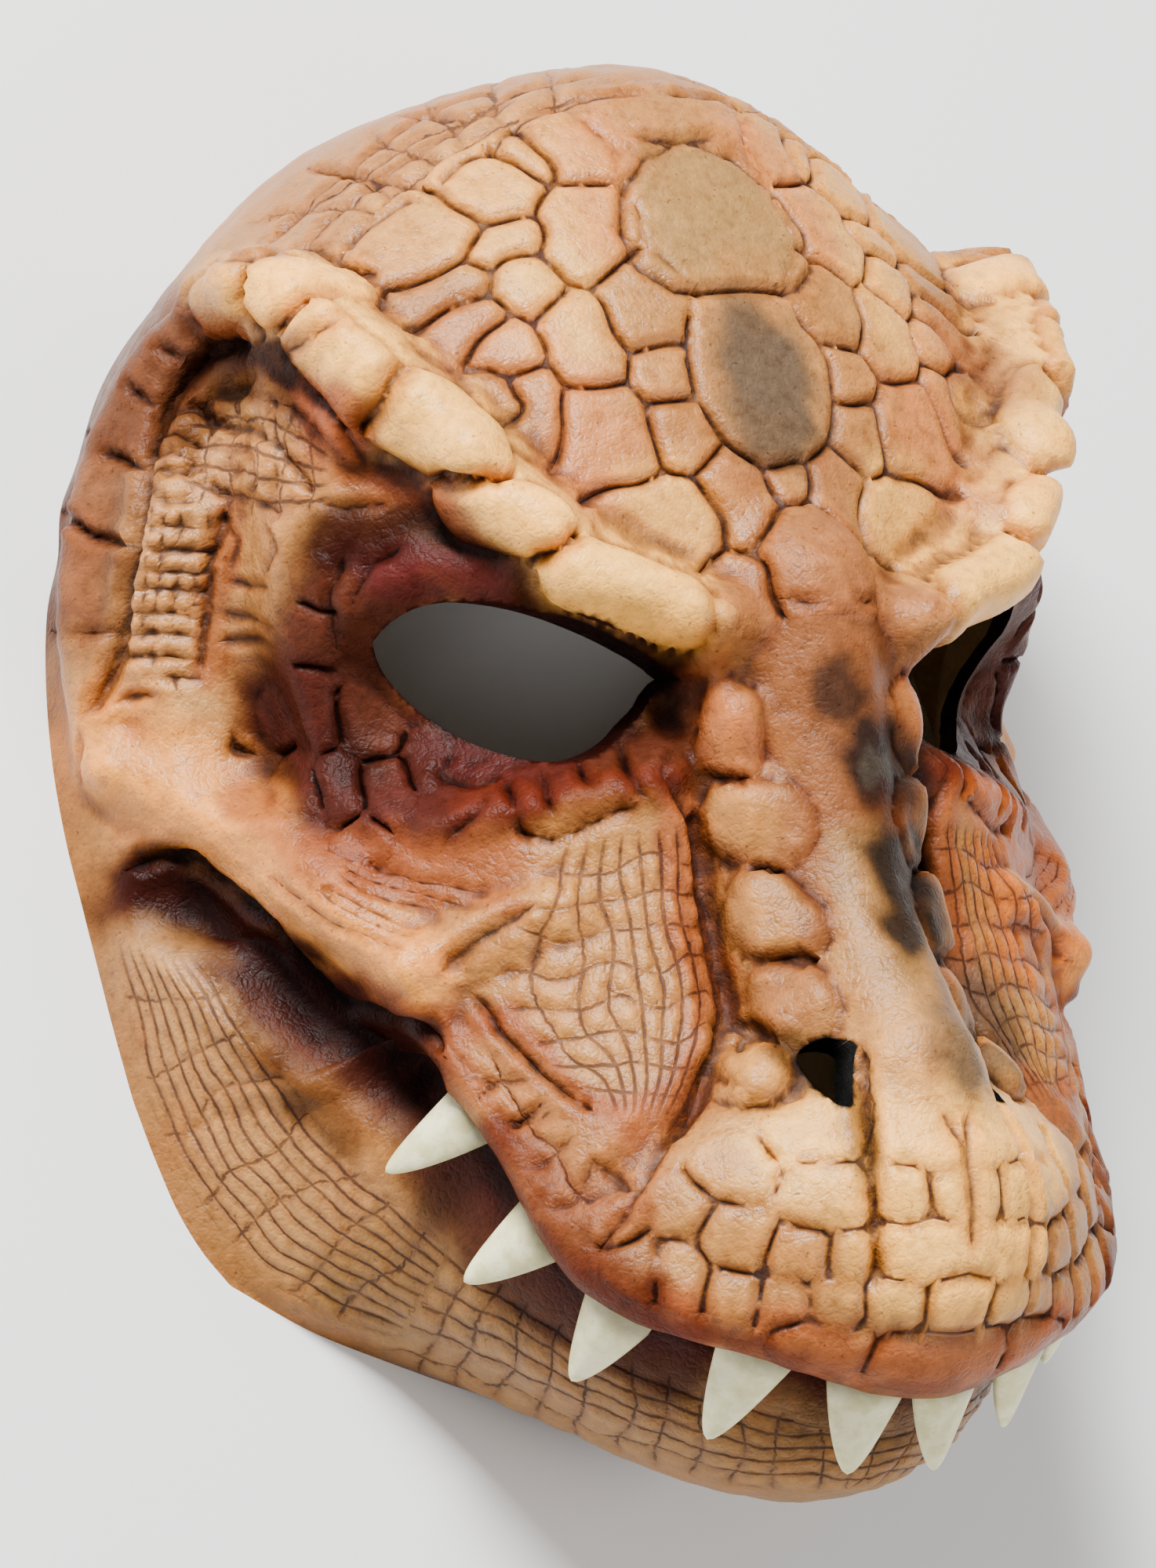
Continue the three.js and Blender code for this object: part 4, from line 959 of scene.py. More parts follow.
# %% Strokes: pot, strength, radius in pixels, path in pixels
STROKES = [
    ("fawn", 0.8, 90, [(330, 330), (470, 230), (640, 160), (760, 130)]),
    ("straw", 0.6, 60, [(520, 300), (600, 250), (700, 190)]),
    ("tan", 0.7, 26, [(300, 320), (420, 195), (560, 120), (720, 88), (880, 110), (1000, 170), (1165, 310)]),
    ("straw", 0.8, 80, [(620, 270), (740, 280), (720, 400)]),
    ("cream", 0.8, 70, [(700, 380), (740, 440)]),
    ("rose", 0.7, 50, [(760, 190), (785, 300)]),
    ("rose", 0.85, 62, [(765, 520), (735, 620)]),
    ("rose", 0.6, 45, [(590, 440), (650, 430), (690, 480)]),
    ("fawn", 0.7, 55, [(810, 390), (830, 480)]),
    ("cream", 0.85, 60, [(840, 640), (900, 680)]),
    ("snuff", 0.3, 330, [(600, 200), (900, 500)]),
    ("olive", 0.85, 92, [(890, 268), (925, 285)]),
    ("tan", 0.8, 95, [(950, 420), (1010, 550)]),
    ("moss", 0.9, 74, [(975, 440), (998, 530)]),
    ("snuff", 0.7, 55, [(1035, 690), (1045, 735)]),
    ("snuff", 0.6, 35, [(940, 620), (950, 760)]),
    ("mushroom", 0.95, 66, [(270, 405), (200, 450), (130, 560), (95, 680), (85, 800), (90, 880)]),
    ("rose", 0.35, 22, [(120, 600), (100, 760)]),
    ("tan", 0.7, 45, [(90, 850), (95, 980)]),
    ("ochre", 0.9, 78, [(300, 570), (230, 640), (215, 760), (215, 860)]),
    ("tan", 0.8, 50, [(340, 600), (360, 620)]),
    # painted shade at the top of the temple, under the brow
    ("umber", 0.8, 40, [(235, 540), (270, 490), (330, 480), (400, 530)]),
    ("clay", 0.7, 42, [(430, 570), (500, 620)]),
    ("tan", 0.7, 42, [(310, 690), (300, 850)]),
    ("clay", 0.6, 20, [(290, 660), (265, 860)]),
    # painted shadow under the brow
    ("dark", 0.85, 24, [(240, 470), (280, 445), (340, 445), (385, 490), (440, 575), (500, 600)]),
    ("straw", 0.9, 42, [(280, 372), (430, 370)]),
    ("clay", 0.8, 18, [(255, 412), (305, 425)]),
    ("straw", 0.9, 50, [(440, 430), (495, 470)]),
    # painted shade on the lower side of a brow knob
    ("clay", 0.8, 28, [(415, 500), (470, 550)]),
    ("cream", 0.85, 58, [(530, 535), (600, 560)]),
    ("cream", 0.85, 50, [(650, 630), (700, 690)]),
    # painted shade on the lower side of a brow knob
    ("clay", 0.6, 22, [(540, 620), (610, 690)]),
    ("cream", 0.95, 62, [(740, 735), (845, 780)]),
    # painted shade on the lower sides of the brow knobs
    ("clay", 0.7, 24, [(395, 510), (440, 560)]),
    ("clay", 0.7, 24, [(500, 610), (560, 650), (610, 690)]),
    ("clay", 0.7, 22, [(600, 712), (670, 742)]),
    ("mushroom", 0.6, 70, [(240, 410), (130, 560), (85, 760)]),
    ("maroon", 0.95, 105, [(465, 750), (430, 840), (410, 930), (470, 990), (560, 1005)]),
    ("maroon", 0.9, 62, [(372, 890), (362, 950), (410, 1045), (480, 1060)]),
    ("maroon", 0.95, 62, [(560, 990), (700, 990), (840, 965)]),
    ("dark", 0.7, 36, [(435, 950), (455, 975)]),
    # painted shadow under the brow, over the eye
    ("dark", 0.85, 44, [(420, 690), (560, 680), (660, 755), (760, 800), (850, 850)]),
    ("wine", 0.85, 36, [(490, 742), (570, 728), (625, 752)]),
    ("wine", 0.6, 30, [(520, 900), (600, 970), (720, 1000)]),
    # painted shadow in the inner corner of the eye
    ("dark", 0.85, 24, [(855, 865), (885, 880)]),
    ("cream", 0.95, 48, [(745, 730), (835, 770)]),
    # painted shadow beside the flank
    ("umber", 0.7, 26, [(880, 910), (885, 1020)]),
    ("russet", 0.7, 30, [(600, 1025), (700, 1025), (850, 1000)]),
    ("apricot", 0.9, 80, [(150, 950), (220, 1000), (290, 1050)]),
    ("apricot", 0.85, 55, [(330, 1110), (450, 1190), (530, 1240)]),
    ("clay", 0.8, 28, [(430, 1262), (500, 1292), (560, 1305)]),
    ("clay", 0.8, 48, [(430, 1105), (560, 1120), (650, 1110)]),
    ("clay", 0.7, 30, [(310, 1020), (390, 1090)]),
    ("fawn", 0.9, 95, [(770, 1130), (760, 1250), (780, 1340)]),
    ("clay", 0.8, 34, [(870, 1050), (890, 1200), (910, 1290), (880, 1390), (790, 1440), (700, 1390),
                       (640, 1310)]),
    ("maroon", 0.95, 72, [(190, 1150), (300, 1210), (400, 1300), (520, 1365)]),
    ("dark", 0.95, 44, [(190, 1130), (300, 1180), (400, 1280), (520, 1345)]),
    # painted shade inside the jaw
    ("umber", 0.7, 30, [(240, 1240), (330, 1350), (440, 1450)]),
    ("ochre", 0.85, 90, [(185, 1280), (260, 1450), (400, 1610)]),
    ("drab", 0.9, 85, [(480, 1640), (650, 1720), (850, 1800), (1050, 1860)]),
    # painted shadow under the lip
    ("umber", 0.85, 58, [(560, 1480), (680, 1640), (850, 1735)]),
    ("clay", 0.8, 62, [(620, 1340), (700, 1440), (780, 1510)]),
    ("tan", 0.6, 36, [(640, 1350), (720, 1450), (800, 1500)]),
    ("russet", 0.9, 38, [(635, 1460), (700, 1560), (780, 1640), (870, 1690)]),
    ("snuff", 0.5, 50, [(700, 1500), (800, 1580)]),
    ("clay", 0.85, 42, [(900, 1670), (1050, 1730), (1200, 1740), (1290, 1720)]),
    ("russet", 0.7, 18, [(870, 1700), (960, 1712), (1060, 1772), (1160, 1782), (1290, 1765)]),
    ("fawn", 0.85, 60, [(930, 1490), (940, 1620)]),
    ("cream", 0.85, 95, [(1040, 1450), (1180, 1480), (1180, 1590)]),
    ("cream", 0.8, 62, [(1150, 1570), (1270, 1620)]),
    ("tan", 0.7, 40, [(1350, 1450), (1375, 1620)]),
    ("snuff", 0.9, 100, [(1040, 840), (1090, 1000), (1110, 1150)]),
    ("fawn", 0.75, 60, [(1120, 1200), (1160, 1340)]),
    ("clay", 0.7, 42, [(905, 880), (935, 960)]),
    ("snuff", 0.6, 55, [(940, 1040), (990, 1180), (1010, 1270)]),
    ("fawn", 0.6, 30, [(935, 1040), (960, 1060)]),
    ("fawn", 0.6, 30, [(975, 1160), (1000, 1180)]),
    ("fawn", 0.7, 40, [(930, 1340), (985, 1370)]),
]
# Strokes that only one side of the face has, where the photograph shows them
LONE_STROKES = [
    ("umber", 0.25, 60, [(1065, 880), (1120, 975), (1205, 1140)]),
    ("olive", 0.6, 50, [(1100, 1100), (1150, 1220)]),
    ("moss", 0.8, 62, [(1240, 1290), (1250, 1340)]),
    ("blotch_and_shade_grey", 0.75, 32, [(1062, 868), (1072, 888)]),
    ("blotch_and_shade_grey", 0.9, 44, [(1112, 955), (1132, 990)]),
    ("moss", 0.6, 16, [(1112, 970), (1122, 982)]),
    ("umber", 0.5, 50, [(1140, 1050), (1170, 1200)]),
    ("blotch_and_shade_grey", 0.9, 32, [(1140, 1085), (1150, 1130), (1160, 1185)]),
    ("blotch_and_shade_grey", 0.7, 26, [(1000, 1345), (1040, 1385)]),
    ("blotch_and_shade_grey", 0.6, 20, [(1092, 1420), (1100, 1480)]),
    ("orange", 0.85, 60, [(1290, 1030), (1330, 1200)]),
    ("snuff", 0.6, 40, [(1250, 470), (1290, 500)]),
]

# %% Lay the paint on
def linear(text):
    """A hexadecimal sRGB colour as linear numbers, mixed stronger than it looks, as studio light pales it."""
    values = np.array([int(text[k:k + 2], 16) / 255 for k in (0, 2, 4)])
    return np.where(values <= 0.04045, values / 12.92, ((values + 0.055) / 1.055) ** 2.4) ** PAINT_STRENGTH


def lay_on(colour, strokes, pixels, shown):
    """Blends strokes into the colour of each vertex, where shown is 1."""
    ragged = pixels + waver(*STROKE_WAVER)
    for pot, strength, radius, path in strokes:
        gap = nearest_on_path(ragged, path)[0]
        cover = strength * (1 - smooth(gap, radius * (1 - STROKE_SOFTNESS), radius * (1 + STROKE_SOFTNESS)))
        colour += (cover * shown)[..., None] * (linear(POTS[pot]) - colour)


def hollowness(grid, normals, span):
    """How far each vertex lies below the mean of those span steps away, in mm."""
    rows = np.arange(ROWS)
    columns = np.arange(COLUMNS)
    total = np.zeros_like(grid)
    for down, right in ((span, 0), (-span, 0), (0, span), (0, -span)):
        near_rows = np.clip(rows + down, 0, ROWS - 1)
        near_columns = np.clip(columns + right, 0, COLUMNS - 1)
        total += grid[np.ix_(near_rows, near_columns)]
    return np.sum((total / 4 - grid) * normals, -1)


paint = np.broadcast_to(linear(POTS["tan"]), (ROWS, COLUMNS, 3)).copy()
lay_on(paint, STROKES, PIXELS, 1.0)
lay_on(paint, LONE_STROKES, to_pixels(BASE), smooth(fine_normals @ VIEW[2], *PAINT_TURNED))
tint = np.random.default_rng(TINT_SEED).uniform(*TINT_RANGE, len(traits))
tint[0] = 1  # bare skin
paint *= np.where(on_scale, tint[scale_number], 1)[..., None]
# Painted shadow under the overhanging lip: maroon over its underside, fading out down the jaw
lip_shadow = np.zeros((ROWS, COLUMNS))
lip_shadow[LIP_ROW:JAW_ROW] = np.linspace(0, 1, LIP_ROWS + 1)[:, None]
lip_shadow[JAW_ROW:] = 1 - smooth(np.arange(ROWS - JAW_ROW) / LIP_SHADE_ROWS)[:, None]
lip_shadow *= smooth(LOFT[..., 2], *LIP_SHADE_HEIGHTS)
paint += lip_shadow[..., None] * (linear(POTS["maroon"]) - paint)
# Painted shade: the colour darkens at the foot of each knob and towards the outer edge of the mask
edge_shade = EDGE_SHADE * (1 - smooth(rim_fade, 0.0, 1.0))
knob_shade = np.where(is_knob, KNOB_SHADE * (1 - roundness), 0)
paint *= 1 - (edge_shade + knob_shade)[..., None] * SHADE_COLOUR
hollow = sum(weight * hollowness(OUTER, fine_normals, span) for span, weight in HOLLOW_SPANS)
hollow = np.clip(hollow, -1, 1)
print("deepest hollow", round(hollow.max(), 2), "highest edge", round(hollow.min(), 2))

# %% [markdown]
# ## Openings and seats
#
# The eye holes and nostrils are cut through the wall once the latex has cured. The eye holes lean towards
# the chin as they rise, along the line of sight out under the brow, so that the knob over each of them stays
# whole. The seats of the teeth are cut a hair larger than the teeth, so that each tooth stays a piece of its
# own. One mesh holds everything that is cut out, and one Boolean modifier takes it all away at once.

# %% Openings
# Two curves in mm: the inner corner, the upper lid's two guides, the outer corner, the lower lid's guides
EYE_HOLE = [(20.2, 3.1), (24.4, 7.6), (60, 26.8), (60.9, 10.2), (48.4, -8.9), (37.3, -22)]
EYE_DEPTH = (30, 120)  # heights between which the eye holes are cut
EYE_LEAN = 0.364  # how far the cut moves towards the chin for each millimetre that it rises
EYE_LEVEL = 80  # height at which the outline has the places above
NOSTRIL_FRONT = (14, -64.5)
NOSTRIL_BACK = (14.8, -73)
NOSTRIL_RADII = (3.2, 1.4)
NOSTRIL_DEPTH = (70, 120)  # the same for the nostrils
TEETH = [  # column of the root on the lip, tip, width and depth, from the middle outwards
    (4.73, (8.3, -125.5, 62), 14, 8),
    (4.07, (28.5, -116.5, 55), 13.5, 8),
    (3.2, (45.5, -103, 46), 12.5, 7.5),
    (2.66, (59, -84.5, 42), 12, 7),
    (2.12, (66, -64, 37), 11.5, 7),
]
TOOTH_ROOT = 1.6  # length of the root inside its seat
TOOTH_TAPER = 0.6  # power of what is left of the length: below 1 a tooth narrows late
SEAT_GAP = 0.3  # between a tooth and its seat
SEAT_SHARES = (0, 0.3, 0.6, 0.85)  # rings of a seat's cutter, as shares of the tooth's length
SEAT_SIDES = 24
CURVE_STEPS = 24  # places along each curve and arc
STRETCHED = 0.8  # a square whose diagonals differ more than this is folded along the shorter one
LIP_STATION = len(UPPER_STATIONS) - 1  # the row of stations on the lip
ALONG_LIP = 0.1  # columns between the two places from which the lip's direction is taken

# %% Shapes of the cutters
def bezier(a, b, c, d):
    """Points along a cubic curve, without its last one."""
    shares = np.linspace(0, 1, CURVE_STEPS, endpoint=False)[:, None]
    a, b, c, d = (np.asarray(point, float) for point in (a, b, c, d))
    rest = 1 - shares
    return rest ** 3 * a + 3 * rest ** 2 * shares * b + 3 * rest * shares ** 2 * c + shares ** 3 * d


def arc(centre, radius, start):
    """Half a turn from an angle."""
    angles = np.linspace(start, start + math.pi, CURVE_STEPS)
    return np.stack([centre[0] + radius * np.cos(angles), centre[1] + radius * np.sin(angles)], 1)


def prism(outline, depth, lean, level):
    """Points and faces of a prism between two heights, upright or leaning towards the chin."""
    count = len(outline)
    points = [(x, y - lean * (height - level), height) for height in depth for x, y in outline]
    faces = [tuple(range(count))[::-1], tuple(range(count, 2 * count))]
    for k in range(count):
        following = (k + 1) % count
        faces.append((k, following, count + following, count + k))
    return points, faces


# %% Seats of the teeth
def root_frame(column, tip):
    """Middle of a tooth's root on the lip, its axis, and its two directions across."""
    here = loft_block(UPPER_STATIONS, np.array([LIP_STATION]), np.array([column, column - ALONG_LIP]))[0]
    gum = loft_block(LOWER_STATIONS, np.array([0.0]), np.array([column]))[0, 0]
    root = (here[0] + gum) / 2
    axis = unit(np.asarray(tip, float) - root)
    along_lip = unit(here[1] - here[0])
    sideways = unit(along_lip - axis * (along_lip @ axis))
    return root, axis, sideways, np.cross(axis, sideways)


def seat_points(tooth):
    """Oval rings from a tooth's root to its point, SEAT_GAP larger than the tooth on all sides."""
    column, tip, width, depth = tooth
    root, axis, sideways, thick = root_frame(column, tip)
    length = np.linalg.norm(np.asarray(tip) - root) + 2 * SEAT_GAP
    angles = np.arange(SEAT_SIDES) * 2 * math.pi / SEAT_SIDES
    points = []
    for share in (-(TOOTH_ROOT + SEAT_GAP) / length, *SEAT_SHARES):
        taper = (1 - max(share, 0)) ** TOOTH_TAPER
        across = (width / 2 * taper + SEAT_GAP) * np.cos(angles)
        through = (depth / 2 * taper + SEAT_GAP) * np.sin(angles)
        centre = root + axis * length * share
        points.extend(centre + sideways * a + thick * b for a, b in zip(across, through))
    points.append(root + axis * length)
    return np.array(points)


def seat_faces():
    """Faces of a seat's cutter, closed by a flat root and a pointed tip."""
    faces = [tuple(range(SEAT_SIDES))[::-1]]
    for ring in range(len(SEAT_SHARES)):
        for k in range(SEAT_SIDES):
            a = ring * SEAT_SIDES + k
            b = ring * SEAT_SIDES + (k + 1) % SEAT_SIDES
            faces.append((a, b, b + SEAT_SIDES, a + SEAT_SIDES))
    last = len(SEAT_SHARES) * SEAT_SIDES
    tip = last + SEAT_SIDES
    faces.extend((last + k, last + (k + 1) % SEAT_SIDES, tip) for k in range(SEAT_SIDES))
    return faces


# %% All cutters together
def cutters():
    """Points and faces of everything that is cut out of the skin."""
    inner, upper_a, upper_b, outer, lower_b, lower_a = EYE_HOLE
    eye = np.concatenate([bezier(inner, upper_a, upper_b, outer), bezier(outer, lower_b, lower_a, inner)])
    nostril = np.concatenate([
        arc(NOSTRIL_FRONT, NOSTRIL_RADII[0], 0), arc(NOSTRIL_BACK, NOSTRIL_RADII[1], math.pi),
    ])
    shapes = [prism(eye, EYE_DEPTH, EYE_LEAN, EYE_LEVEL), prism(nostril, NOSTRIL_DEPTH, 0, 0)]
    shapes.extend((seat_points(tooth), seat_faces()) for tooth in TEETH)
    points, faces = [], []
    for mirror in (1, -1):
        for shape_points, shape_faces in shapes:
            first = len(points)
            points.extend((mirror * x, y, z) for x, y, z in shape_points)
            faces.extend(tuple(first + index for index in face) for face in shape_faces)
    return points, faces


# %% From numbers to a mesh
def in_scene(name, data):
    """An object at the origin that holds the data, linked into the scene."""
    made = bpy.data.objects.new(name, data)
    bpy.context.scene.collection.objects.link(made)
    return made


def face_outwards(mesh):
    """Turns all faces outwards, and counts the edges at which the mesh isn't closed."""
    shaped = bmesh.new()
    shaped.from_mesh(mesh)
    bmesh.ops.recalc_face_normals(shaped, faces=shaped.faces)
    open_edges = sum(not edge.is_manifold for edge in shaped.edges)
    shaped.to_mesh(mesh)
    shaped.free()
    return open_edges


def mesh_object(name, points, faces):
    """An object whose mesh is in metres in the frame."""
    mesh = bpy.data.meshes.new(name)
    metres = (np.asarray(points, float) + [0, CENTRE_SHIFT, 0]) * MM
    mesh.from_pydata(metres.tolist(), [], faces)
    print(name, "has", face_outwards(mesh), "open edges")
    return in_scene(name, mesh)


def take_shape(piece):
    """Gives a piece the plain mesh that its modifiers make, and clears them."""
    evaluated = piece.evaluated_get(bpy.context.evaluated_depsgraph_get())
    mesh = bpy.data.meshes.new_from_object(evaluated)
    mesh.name = piece.name
    piece.modifiers.clear()
    piece.data = mesh
    return mesh


def fold_into_valleys(quads, points, heights):
    """Two triangles for each square. The fold follows the lower diagonal, so that grooves run straight, or
    the shorter one where the square is drawn out over a steep place."""
    a, b, c, d = quads.T
    one = np.linalg.norm(points[a] - points[c], axis=1)
    other = np.linalg.norm(points[b] - points[d], axis=1)
    lower = heights[a] + heights[c] < heights[b] + heights[d]
    by_ac = np.where(one < STRETCHED * other, True, np.where(other < STRETCHED * one, False, lower))[:, None]
    first = np.where(by_ac, np.stack([a, b, c], 1), np.stack([a, b, d], 1))
    second = np.where(by_ac, np.stack([a, c, d], 1), np.stack([b, c, d], 1))
    return np.concatenate([first, second]).tolist()


# %% Cut the openings
all_points = np.concatenate([outer_points, INNER.reshape(-1, 3)])
outer_triangles = fold_into_valleys(corners, all_points, carving.reshape(-1))
all_faces = outer_triangles + inner_corners.tolist() + rim_triangles
skin = mesh_object("skin_carved", all_points, all_faces)
cutter = mesh_object("cutter", *cutters())
cut = skin.modifiers.new("openings", "BOOLEAN")
cut.operation = "DIFFERENCE"
cut.solver = "MANIFOLD"
cut.object = cutter
opened = take_shape(skin)
bpy.data.objects.remove(cutter)
print("skin after cutting:", len(opened.vertices), "vertices,", len(opened.polygons), "faces")

# %% [markdown]
# Cutting leaves new vertices along the edges of the openings. Each vertex of the finished mesh takes its
# paint and its groove distances from the nearest vertex of the carved grid, or the plain inside colour.

# %% Colours onto the mesh
EYE_HOLE_LOWEST = -12.0  # mm along Y; cuts above this belong to the eye holes
NOSTRIL_WIDEST = 20.0  # mm along X
NOSTRIL_LOWEST = 70.0  # mm along Z
NEW_VERTEX_GAP = 0.01  # mm; a vertex farther than this from every carved one was made by a cut
OPEN_SEAM_SHIFT = 0.25  # mm by which the wash is narrower where a scale ends in bare skin
SKIN_SHARP = math.radians(62)  # edges sharper than this aren't shaded smooth
all_carved = kd_tree(all_points)
opened_points = np.empty(len(opened.vertices) * 3)
opened.vertices.foreach_get("co", opened_points)
opened_points = opened_points.reshape(-1, 3) / MM - [0, CENTRE_SHIFT, 0]
found = [all_carved.find(point) for point in opened_points]
nearest = np.array([index for _, index, _ in found])
is_new = np.array([gap for _, _, gap in found]) > NEW_VERTEX_GAP
is_inside = (nearest >= first_inner) & ~is_new
source = nearest.copy()
for index in np.nonzero(nearest >= first_inner)[0]:
    source[index] = outer_face.find(opened_points[index])[1]


# %% Values for the material
FIELDS = {"FLOAT": "value", "FLOAT_VECTOR": "vector", "FLOAT_COLOR": "color"}


def add_values(name, kind, values):
    """Keeps values on the mesh, one for each vertex, under the name by which the material reads them."""
    attribute = opened.attributes.new(name, kind, "POINT")
    attribute.data.foreach_set(FIELDS[kind], np.ascontiguousarray(values, np.float32).ravel())


vertex_paint = paint.reshape(-1, 3)[source]
vertex_paint[is_inside] = linear(POTS["bone"])
at_eye = is_new & (opened_points[:, 1] > EYE_HOLE_LOWEST)
near_nostril = (np.abs(opened_points[:, 0]) < NOSTRIL_WIDEST) & (opened_points[:, 2] > NOSTRIL_LOWEST)
at_nostril = is_new & ~at_eye & near_nostril
# The walls of the cuts get painted shade: umber, darker in the eye holes and near black in the nostrils
vertex_paint[is_new] = linear(POTS["umber"])
vertex_paint[at_eye] = linear(POTS["dark"])
vertex_paint[at_nostril] = linear(POTS["blotch_and_shade_grey"])
add_values("paint", "FLOAT_COLOR", np.c_[vertex_paint, np.ones(len(source))])
wash_gap = np.where(meets_scale, seam, seam + OPEN_SEAM_SHIFT).reshape(-1)
add_values("seam", "FLOAT", np.where(is_inside, FAR, wash_gap[source]))
add_values("crease", "FLOAT", np.where(is_inside, FAR, crease_step[source]))
lattice_values = np.concatenate([lattice_numbers, lattice_share[..., None]], -1).reshape(-1, 3)[source]
lattice_values[is_inside | is_new] = 0
add_values("lattice", "FLOAT_VECTOR", lattice_values)
spacing_values = np.concatenate([lattice_spacing, np.zeros((ROWS, COLUMNS, 1))], -1)
add_values("lattice_spacing", "FLOAT_VECTOR", spacing_values.reshape(-1, 3)[source])
add_values("hollow", "FLOAT", np.where(is_inside, 0, hollow.reshape(-1)[source]))
add_values("inside", "FLOAT", is_inside)
opened.shade_smooth()
opened.set_sharp_from_angle(angle=SKIN_SHARP)
print("inside vertices:", int(is_inside.sum()))

# %% [markdown]
# ## The skin's finish
#
# Latex paint on latex has a satin sheen, tiny pores from the casting plaster, and a wash that is never
# even. The shader starts from the vertex paint and breaks it up with noise of several sizes. It darkens the
# grooves by their distances, which stay sharp however close the camera comes, paints shade into the
# hollows and a highlight onto the ridges, and adds pores and grain as bump alone. A small class keeps the
# node calls short.

# %% A bench to build node trees on
class Bench:
    """A node tree, with a short call for each kind of node that is used often."""

    def __init__(self, tree):
        self.tree = tree

    def join(self, made, inputs):
        """Gives a node its inputs: outputs of other nodes are linked, and all other values are set."""
        for socket, value in inputs.items():
            if isinstance(value, bpy.types.NodeSocket):
                self.tree.links.new(value, made.inputs[socket])
            else:
                made.inputs[socket].default_value = value

    def node(self, kind, inputs=None, **settings):
        """A node of a kind, with its inputs and its settings."""
        made = self.tree.nodes.new(kind)
        for name, value in settings.items():
            setattr(made, name, value)
        self.join(made, inputs or {})
        return made

    def attribute(self, name, output="Fac"):
        """A value kept on the mesh."""
        return self.node("ShaderNodeAttribute", attribute_name=name).outputs[output]

    def ramp(self, value, low, high, start=0.0, end=1.0):
        """A value mapped smoothly from one range to another."""
        inputs = {"Value": value, "From Min": low, "From Max": high, "To Min": start, "To Max": end}
        made = self.node("ShaderNodeMapRange", inputs, interpolation_type="SMOOTHSTEP")
        return made.outputs["Result"]

    def maths(self, operation, *values):
        """A sum, a product or another operation of one or two values."""
        return self.node("ShaderNodeMath", dict(enumerate(values)), operation=operation).outputs[0]

    def strongest(self, *values):
        """The greatest of several values."""
        result = values[0]
        for value in values[1:]:
            result = self.maths("MAXIMUM", result, value)
        return result

    def blend(self, factor, a, b, kind="MIX"):
        """Two colours mixed by a factor."""
        inputs = {0: factor, 6: a, 7: b}
        return self.node("ShaderNodeMix", inputs, data_type="RGBA", blend_type=kind).outputs[2]

    def noise(self, place, scale, detail=3.0, roughness=0.55):
        """Cloudy noise of 0 to 1."""
        inputs = {"Vector": place, "Scale": scale, "Detail": detail, "Roughness": roughness}
        return self.node("ShaderNodeTexNoise", inputs).outputs["Fac"]


# %% New materials
def new_material(name):
    """A material, the bench for its nodes, and its shader."""
    material = bpy.data.materials.new(name)
    material.use_nodes = True
    return material, Bench(material.node_tree), material.node_tree.nodes["Principled BSDF"]


def rgba(text):
    """A colour as a shader's socket takes it."""
    return (*linear(text), 1.0)


# %% Skin: layers of colour
WARM = (1.0, 0.86, 0.72, 1)
PALE = (1.5, 1.45, 1.35, 1)
DULL = (0.6, 0.52, 0.44, 1)
PIT = (0.35, 0.24, 0.16, 1)
skin_material, bench, shader = new_material("painted_latex")
place = bench.node("ShaderNodeTexCoord").outputs["Object"]
base_paint = bench.attribute("paint", "Color")
seam_value = bench.attribute("seam")
crease_value = bench.attribute("crease")
hollow_value = bench.attribute("hollow")
inside_value = bench.attribute("inside")
patches = bench.noise(place, 90, 4)  # about 11 mm across
mottle = bench.noise(place, 420, 5, 0.65)  # 2.4 mm
fleck = bench.noise(place, 1100, 3)  # 0.9 mm
grain = bench.noise(place, 2200, 2)  # 0.45 mm
warm = bench.blend(bench.ramp(patches, 0.45, 0.65, 0, 0.5), base_paint, WARM, "MULTIPLY")
pale = bench.blend(bench.ramp(mottle, 0.48, 0.7, 0, 0.5), warm, PALE, "MULTIPLY")
dull = bench.blend(bench.ramp(mottle, 0.5, 0.3, 0, 0.6), pale, DULL, "MULTIPLY")
pitted = bench.blend(bench.ramp(fleck, 0.64, 0.72, 0, 0.7), dull, PIT, "MULTIPLY")

# %% [markdown]
# The woven lines are drawn by the shader itself. The mesh holds two numbers for each place, which count
# strands and rungs, and a third that says how strongly the patch shows. Wherever a number is whole, a line
# runs, and multiplying by the spacing turns the distance to it into millimetres.

# %% Skin: woven lines
WOBBLE = 0.22  # how far the lines waver, in spacings
WOBBLE_MIDDLE = 0.39  # half a spacing, less half the wobble, so that the lines keep their mean place
lattice = bench.node("ShaderNodeSeparateXYZ", {0: bench.attribute("lattice", "Vector")})
spacing = bench.node("ShaderNodeSeparateXYZ", {0: bench.attribute("lattice_spacing", "Vector")})
shown = lattice.outputs[2]
wobble = bench.maths("MULTIPLY", bench.noise(place, 500, 2), WOBBLE)
lattice_gaps = []
for axis in (0, 1):
    number = bench.maths("ADD", lattice.outputs[axis], bench.maths("ADD", wobble, WOBBLE_MIDDLE))
    away = bench.maths("ABSOLUTE", bench.maths("SUBTRACT", bench.maths("FRACT", number), 0.5))
    lattice_gaps.append(bench.maths("MULTIPLY", away, spacing.outputs[axis]))
nearest_line = bench.maths("MINIMUM", *lattice_gaps)
lattice_stain = bench.maths("MULTIPLY", bench.ramp(nearest_line, 1.5, 0.3, 0, 0.6), shown)
strand_line = bench.ramp(lattice_gaps[0], 0.44, 0.1)
worn_rung = bench.ramp(bench.noise(place, 250, 2), 0.4, 0.5, 0.35, 0.95)
rung_line = bench.maths("MULTIPLY", bench.ramp(lattice_gaps[1], 0.4, 0.1), worn_rung)
either_line = bench.maths("MAXIMUM", strand_line, rung_line)
woven = bench.maths("MULTIPLY", either_line, bench.maths("MULTIPLY", shown, 0.85))
